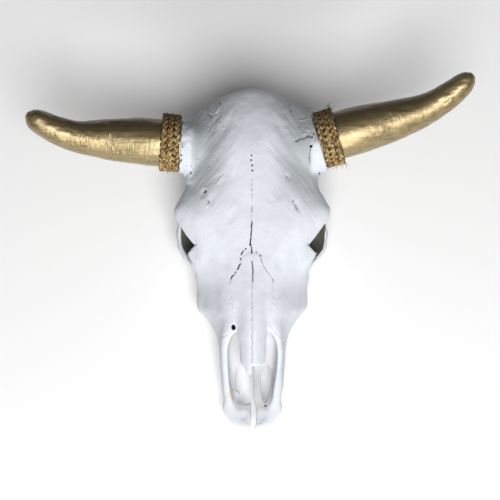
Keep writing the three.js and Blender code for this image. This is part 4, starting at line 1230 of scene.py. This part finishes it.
def paint_marks(piece):
    points = corners(piece)
    px, py = in_photo(points)
    x, y, z = np.abs(points[:, 0]), points[:, 1], points[:, 2]
    shown = within(np.maximum(*(inside_shape(px, py, shape) for shape in SOCKET_DEPTHS)), -0.3, 0.5)
    out = sum((p - at) * along for p, at, along in zip((x, y, z), SOCKET, SOCKET_AXIS))
    # painted shade in the depths of the eye sockets and the neck hole
    deep = within(7 - socket_hollow(x, y, z), 0, 2) * within(-z, 30, 38)
    deep = deep * np.maximum(shown, within(-out, 2, 8))
    deep = np.maximum(deep, within(4 - neck_hole(x, y, z), 0, 2) * within(212 - y, 0, 14))
    stain = within(1 - beside_pit(px, py, MUZZLE_STAIN)[0], 0, 0.5) * (z > MUZZLE_STAIN_DEPTH)
    # painted shade with a warm tint in the nasal cavity under the nose bones
    inner = within(2 - nasal_cavity(x, y, z), 0, 3) * (z < nose_top(x, y) - NOSE_THICK)
    for name, amount in (("deep_painted_shade", deep), ("stain", stain), ("cavity", inner), ("painted_side_shade", forehead_side_shade(px, py))):
        piece.data.attributes.new(name, "FLOAT", "POINT").data.foreach_set("value", amount)


for piece in bone.values():
    paint_marks(piece)


# Finishes. A Shade is one socket of a material, and sums on it add Math nodes
class Shade:
    def __init__(self, tree, socket):
        self.tree = tree
        self.socket = socket

    def node(self, kind, settings, sockets, output=0):
        made = self.tree.nodes.new(kind)
        for name, value in settings.items():
            setattr(made, name, value)
        for name, value in sockets.items():
            if isinstance(value, Shade):
                self.tree.links.new(value.socket, made.inputs[name])
            else:
                made.inputs[name].default_value = value
        return Shade(self.tree, made.outputs[output])

    def math(self, operation, a, b):
        return self.node("ShaderNodeMath", {"operation": operation}, {0: a, 1: b})

    def __add__(self, other):
        return self.math("ADD", self, other)

    __radd__ = __add__

    def __sub__(self, other):
        return self.math("SUBTRACT", self, other)

    def __rsub__(self, other):
        return self.math("SUBTRACT", other, self)

    def __mul__(self, other):
        return self.math("MULTIPLY", self, other)

    __rmul__ = __mul__

    def __abs__(self):
        return self.node("ShaderNodeMath", {"operation": "ABSOLUTE"}, {0: self})

    def part(self, axis):
        return self.node("ShaderNodeSeparateXYZ", {}, {0: self}, axis)

    def join_parts(self, x, y, z):
        return self.node("ShaderNodeCombineXYZ", {}, {0: x, 1: y, 2: z})

    def within(self, low, high):
        sockets = {"Value": self, "From Min": low, "From Max": high}
        return self.node("ShaderNodeMapRange", {"interpolation_type": "SMOOTHSTEP"}, sockets)

    def stretch(self, across, along, up):
        sockets = {0: self, 1: (across, along, up)}
        return self.node("ShaderNodeVectorMath", {"operation": "MULTIPLY"}, sockets)

    def grain(self, scale, detail=2.0, rough=0.5):
        sockets = {"Vector": self, "Scale": scale, "Detail": detail, "Roughness": rough}
        return self.node("ShaderNodeTexNoise", {}, sockets)

    def mix(self, low, high):
        sockets = {0: self, 6: low, 7: high}
        return self.node("ShaderNodeMix", {"data_type": "RGBA"}, sockets, 2)

    def attribute(self, name):
        return self.node("ShaderNodeAttribute", {"attribute_name": name}, {}, 2)

    def bump(self, height_mm):
        sockets = {"Strength": 1.0, "Distance": height_mm * 0.001, "Height": self}
        return self.node("ShaderNodeBump", {}, sockets)


def finish(name, **constants):
    material = bpy.data.materials.new(name)
    material.use_nodes = True
    tree = material.node_tree
    shader = tree.nodes["Principled BSDF"]
    for socket, value in constants.items():
        shader.inputs[socket.replace("_", " ").title()].default_value = value
    return material, Shade(tree, None).node("ShaderNodeTexCoord", {}, {}, "Object")


def wear(material, **links):
    shader = material.node_tree.nodes["Principled BSDF"]
    for socket, value in links.items():
        material.node_tree.links.new(value.socket, shader.inputs[socket.replace("_", " ").title()])


PAINT_WHITE = (0.635, 0.655, 0.705, 1)
PAINT_THIN = (0.60, 0.62, 0.66, 1)
# The grey of the painted shade on the forehead's sides
PAINT_SHADE_GREY = (0.405, 0.43, 0.445, 1)
SEAM_BROWN_AND_HOLE_SHADE = (0.02, 0.016, 0.012, 1)
SOCKET_SHADE_GREY = (0.085, 0.088, 0.07, 1)
STAIN_CREAM = (0.64, 0.595, 0.50, 1)
CAVITY_SHADE_WARM = (0.52, 0.51, 0.505, 1)


def white_paint():
    material, place = finish("white_paint")
    patches = place.grain(42, 4, 0.6).within(0.35, 0.75)
    colour = patches.mix(PAINT_WHITE, PAINT_THIN)
    # painted shade on the falling sides of the forehead
    colour = place.attribute("painted_side_shade").mix(colour, PAINT_SHADE_GREY)
    # painted shade with a warm tint in the nasal cavity
    colour = place.attribute("cavity").mix(colour, CAVITY_SHADE_WARM)
    colour = place.attribute("stain").mix(colour, STAIN_CREAM)
    # painted shade in the deep eye sockets and the neck hole
    colour = place.attribute("deep_painted_shade").mix(colour, SOCKET_SHADE_GREY)
    # dark seams and cracks, and painted shade in holes and pits
    colour = place.attribute("seam_dark_and_hole_shade").within(0.08, 0.75).mix(colour, SEAM_BROWN_AND_HOLE_SHADE)
    speckle = place.grain(900, 3, 0.6)
    side = abs(place.part("X"))
    up = place.part("Y")
    fibres = place.join_parts(0.8 * side + 0.6 * up, 0.1 * up - 0.075 * side, 0).grain(520, 3, 0.6)
    fibres = fibres * up.within(-0.05, 0.04) * side.within(0.006, 0.04)
    relief = place.grain(260, 4, 0.6) * 0.3 + speckle * 0.25 + fibres * 1.3
    wear(material, base_color=colour, roughness=0.5 + speckle * 0.2, normal=relief.bump(0.5))
    return material


GOLD_BRIGHT = (0.345, 0.265, 0.13, 1)
GOLD_DEEP = (0.105, 0.08, 0.03, 1)
GOLD_UPPER_SHADE = (0.075, 0.052, 0.017, 1)


def gold_paint():
    material, place = finish("gold_paint", metallic=0.85, coat_weight=0.6, coat_roughness=0.3)
    lengthwise = place.stretch(0.12, 1, 1)
    crosswise = place.stretch(1, 0.18, 0.18)
    streaks = lengthwise.grain(220, 4, 0.65)
    brush = crosswise.grain(420, 3, 0.6)
    worn = streaks.within(0.42, 0.85)
    colour = worn.mix(GOLD_BRIGHT, GOLD_DEEP)
    # painted shade on the side of the horn turned away from the muzzle
    colour = (place.attribute("upper_painted_shade") * 0.85).mix(colour, GOLD_UPPER_SHADE)
    scuffs = place.grain(330, 4, 0.7)
    relief = streaks * 0.5 + brush * 0.3 + scuffs * 0.6
    wear(material, base_color=colour, roughness=0.26 + scuffs * 0.3, normal=relief.bump(0.7))
    return material


JUTE_GOLD = (0.62, 0.43, 0.18, 1)
JUTE_DARK = (0.12, 0.07, 0.022, 1)
JUTE_GAP_SHADE = (0.012, 0.008, 0.003, 1)
JUTE_UPPER_SHADE = (0.085, 0.05, 0.014, 1)


def jute():
    material, place = finish("jute", roughness=0.75)
    threads = place.grain(1300, 3, 0.7)
    tufts = place.grain(200, 2, 0.5)
    colour = (threads * 0.45 + tufts * 0.55).within(0.42, 0.64).mix(JUTE_DARK, JUTE_GOLD)
    # painted shade on the side of the rope turned away from the muzzle
    colour = (place.attribute("upper_painted_shade") * 0.8).mix(colour, JUTE_UPPER_SHADE)
    # painted shade in the gap between the strands and the horn
    colour = place.attribute("gap_painted_shade").mix(colour, JUTE_GAP_SHADE)
    wear(material, base_color=colour, normal=threads.bump(0.25))
    return material


TOOTH_IVORY = (0.7, 0.63, 0.48, 1)
TOOTH_STAIN = (0.3, 0.22, 0.12, 1)


def tooth_enamel():
    material, place = finish("tooth_enamel", roughness=0.35)
    growth = place.stretch(1, 1, 0.15).grain(420, 3, 0.6)
    colour = growth.within(0.5, 0.8).mix(TOOTH_IVORY, TOOTH_STAIN)
    wear(material, base_color=colour, normal=growth.bump(0.3))
    return material


def dress(pieces, material):
    for piece in pieces:
        piece.data.materials.clear()
        piece.data.materials.append(material)
        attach(piece, "root")


for node, piece in bone.items():
    select_only(piece)
    bpy.ops.object.shade_smooth_by_angle(angle=math.radians(40))
    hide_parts(node)
for name in SIDES:
    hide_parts("horn_" + name)
    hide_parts("rope_" + name)
dress(bone.values(), white_paint())
dress(teeth.values(), tooth_enamel())
dress(horns.values(), gold_paint())
dress([piece for pair in ropes.values() for piece in pair], jute())


# The floor, the light and the camera
bpy.ops.mesh.primitive_plane_add(size=12)
floor = bpy.context.object
floor.name = "floor"
floor.data.materials.append(finish("pale_floor", base_color=(0.95, 0.95, 0.95, 1), roughness=0.8)[0])

world = bpy.data.worlds.new("studio")
world.use_nodes = True
world.node_tree.nodes["Background"].inputs["Color"].default_value = (1, 1, 1, 1)
world.node_tree.nodes["Background"].inputs["Strength"].default_value = 0.15
bpy.context.scene.world = world
bpy.context.scene.view_settings.view_transform = "Standard"

LIGHT_TARGET = Vector((0, 0.02, 0.1))


def soft_light(name, place, size, power):
    bpy.ops.object.light_add(type="AREA", location=place)
    light = bpy.context.object
    light.name = name
    light.data.energy = power
    light.data.size = size
    light.rotation_euler = (LIGHT_TARGET - light.location).to_track_quat("-Z", "Y").to_euler()


soft_light("key_above_muzzle", (0.3, -1.9, 3.15), 1.8, 112)
soft_light("low_light", (0.1, -2.9, 1.2), 1.0, 46)

bpy.ops.object.camera_add(location=TO_ROW @ EYE)
camera = bpy.context.object
camera.rotation_euler = (REST_TILT, 0, 0)
camera.data.lens = camera.data.sensor_width * EYE.z / FRAME_WIDTH
bpy.context.scene.camera = camera
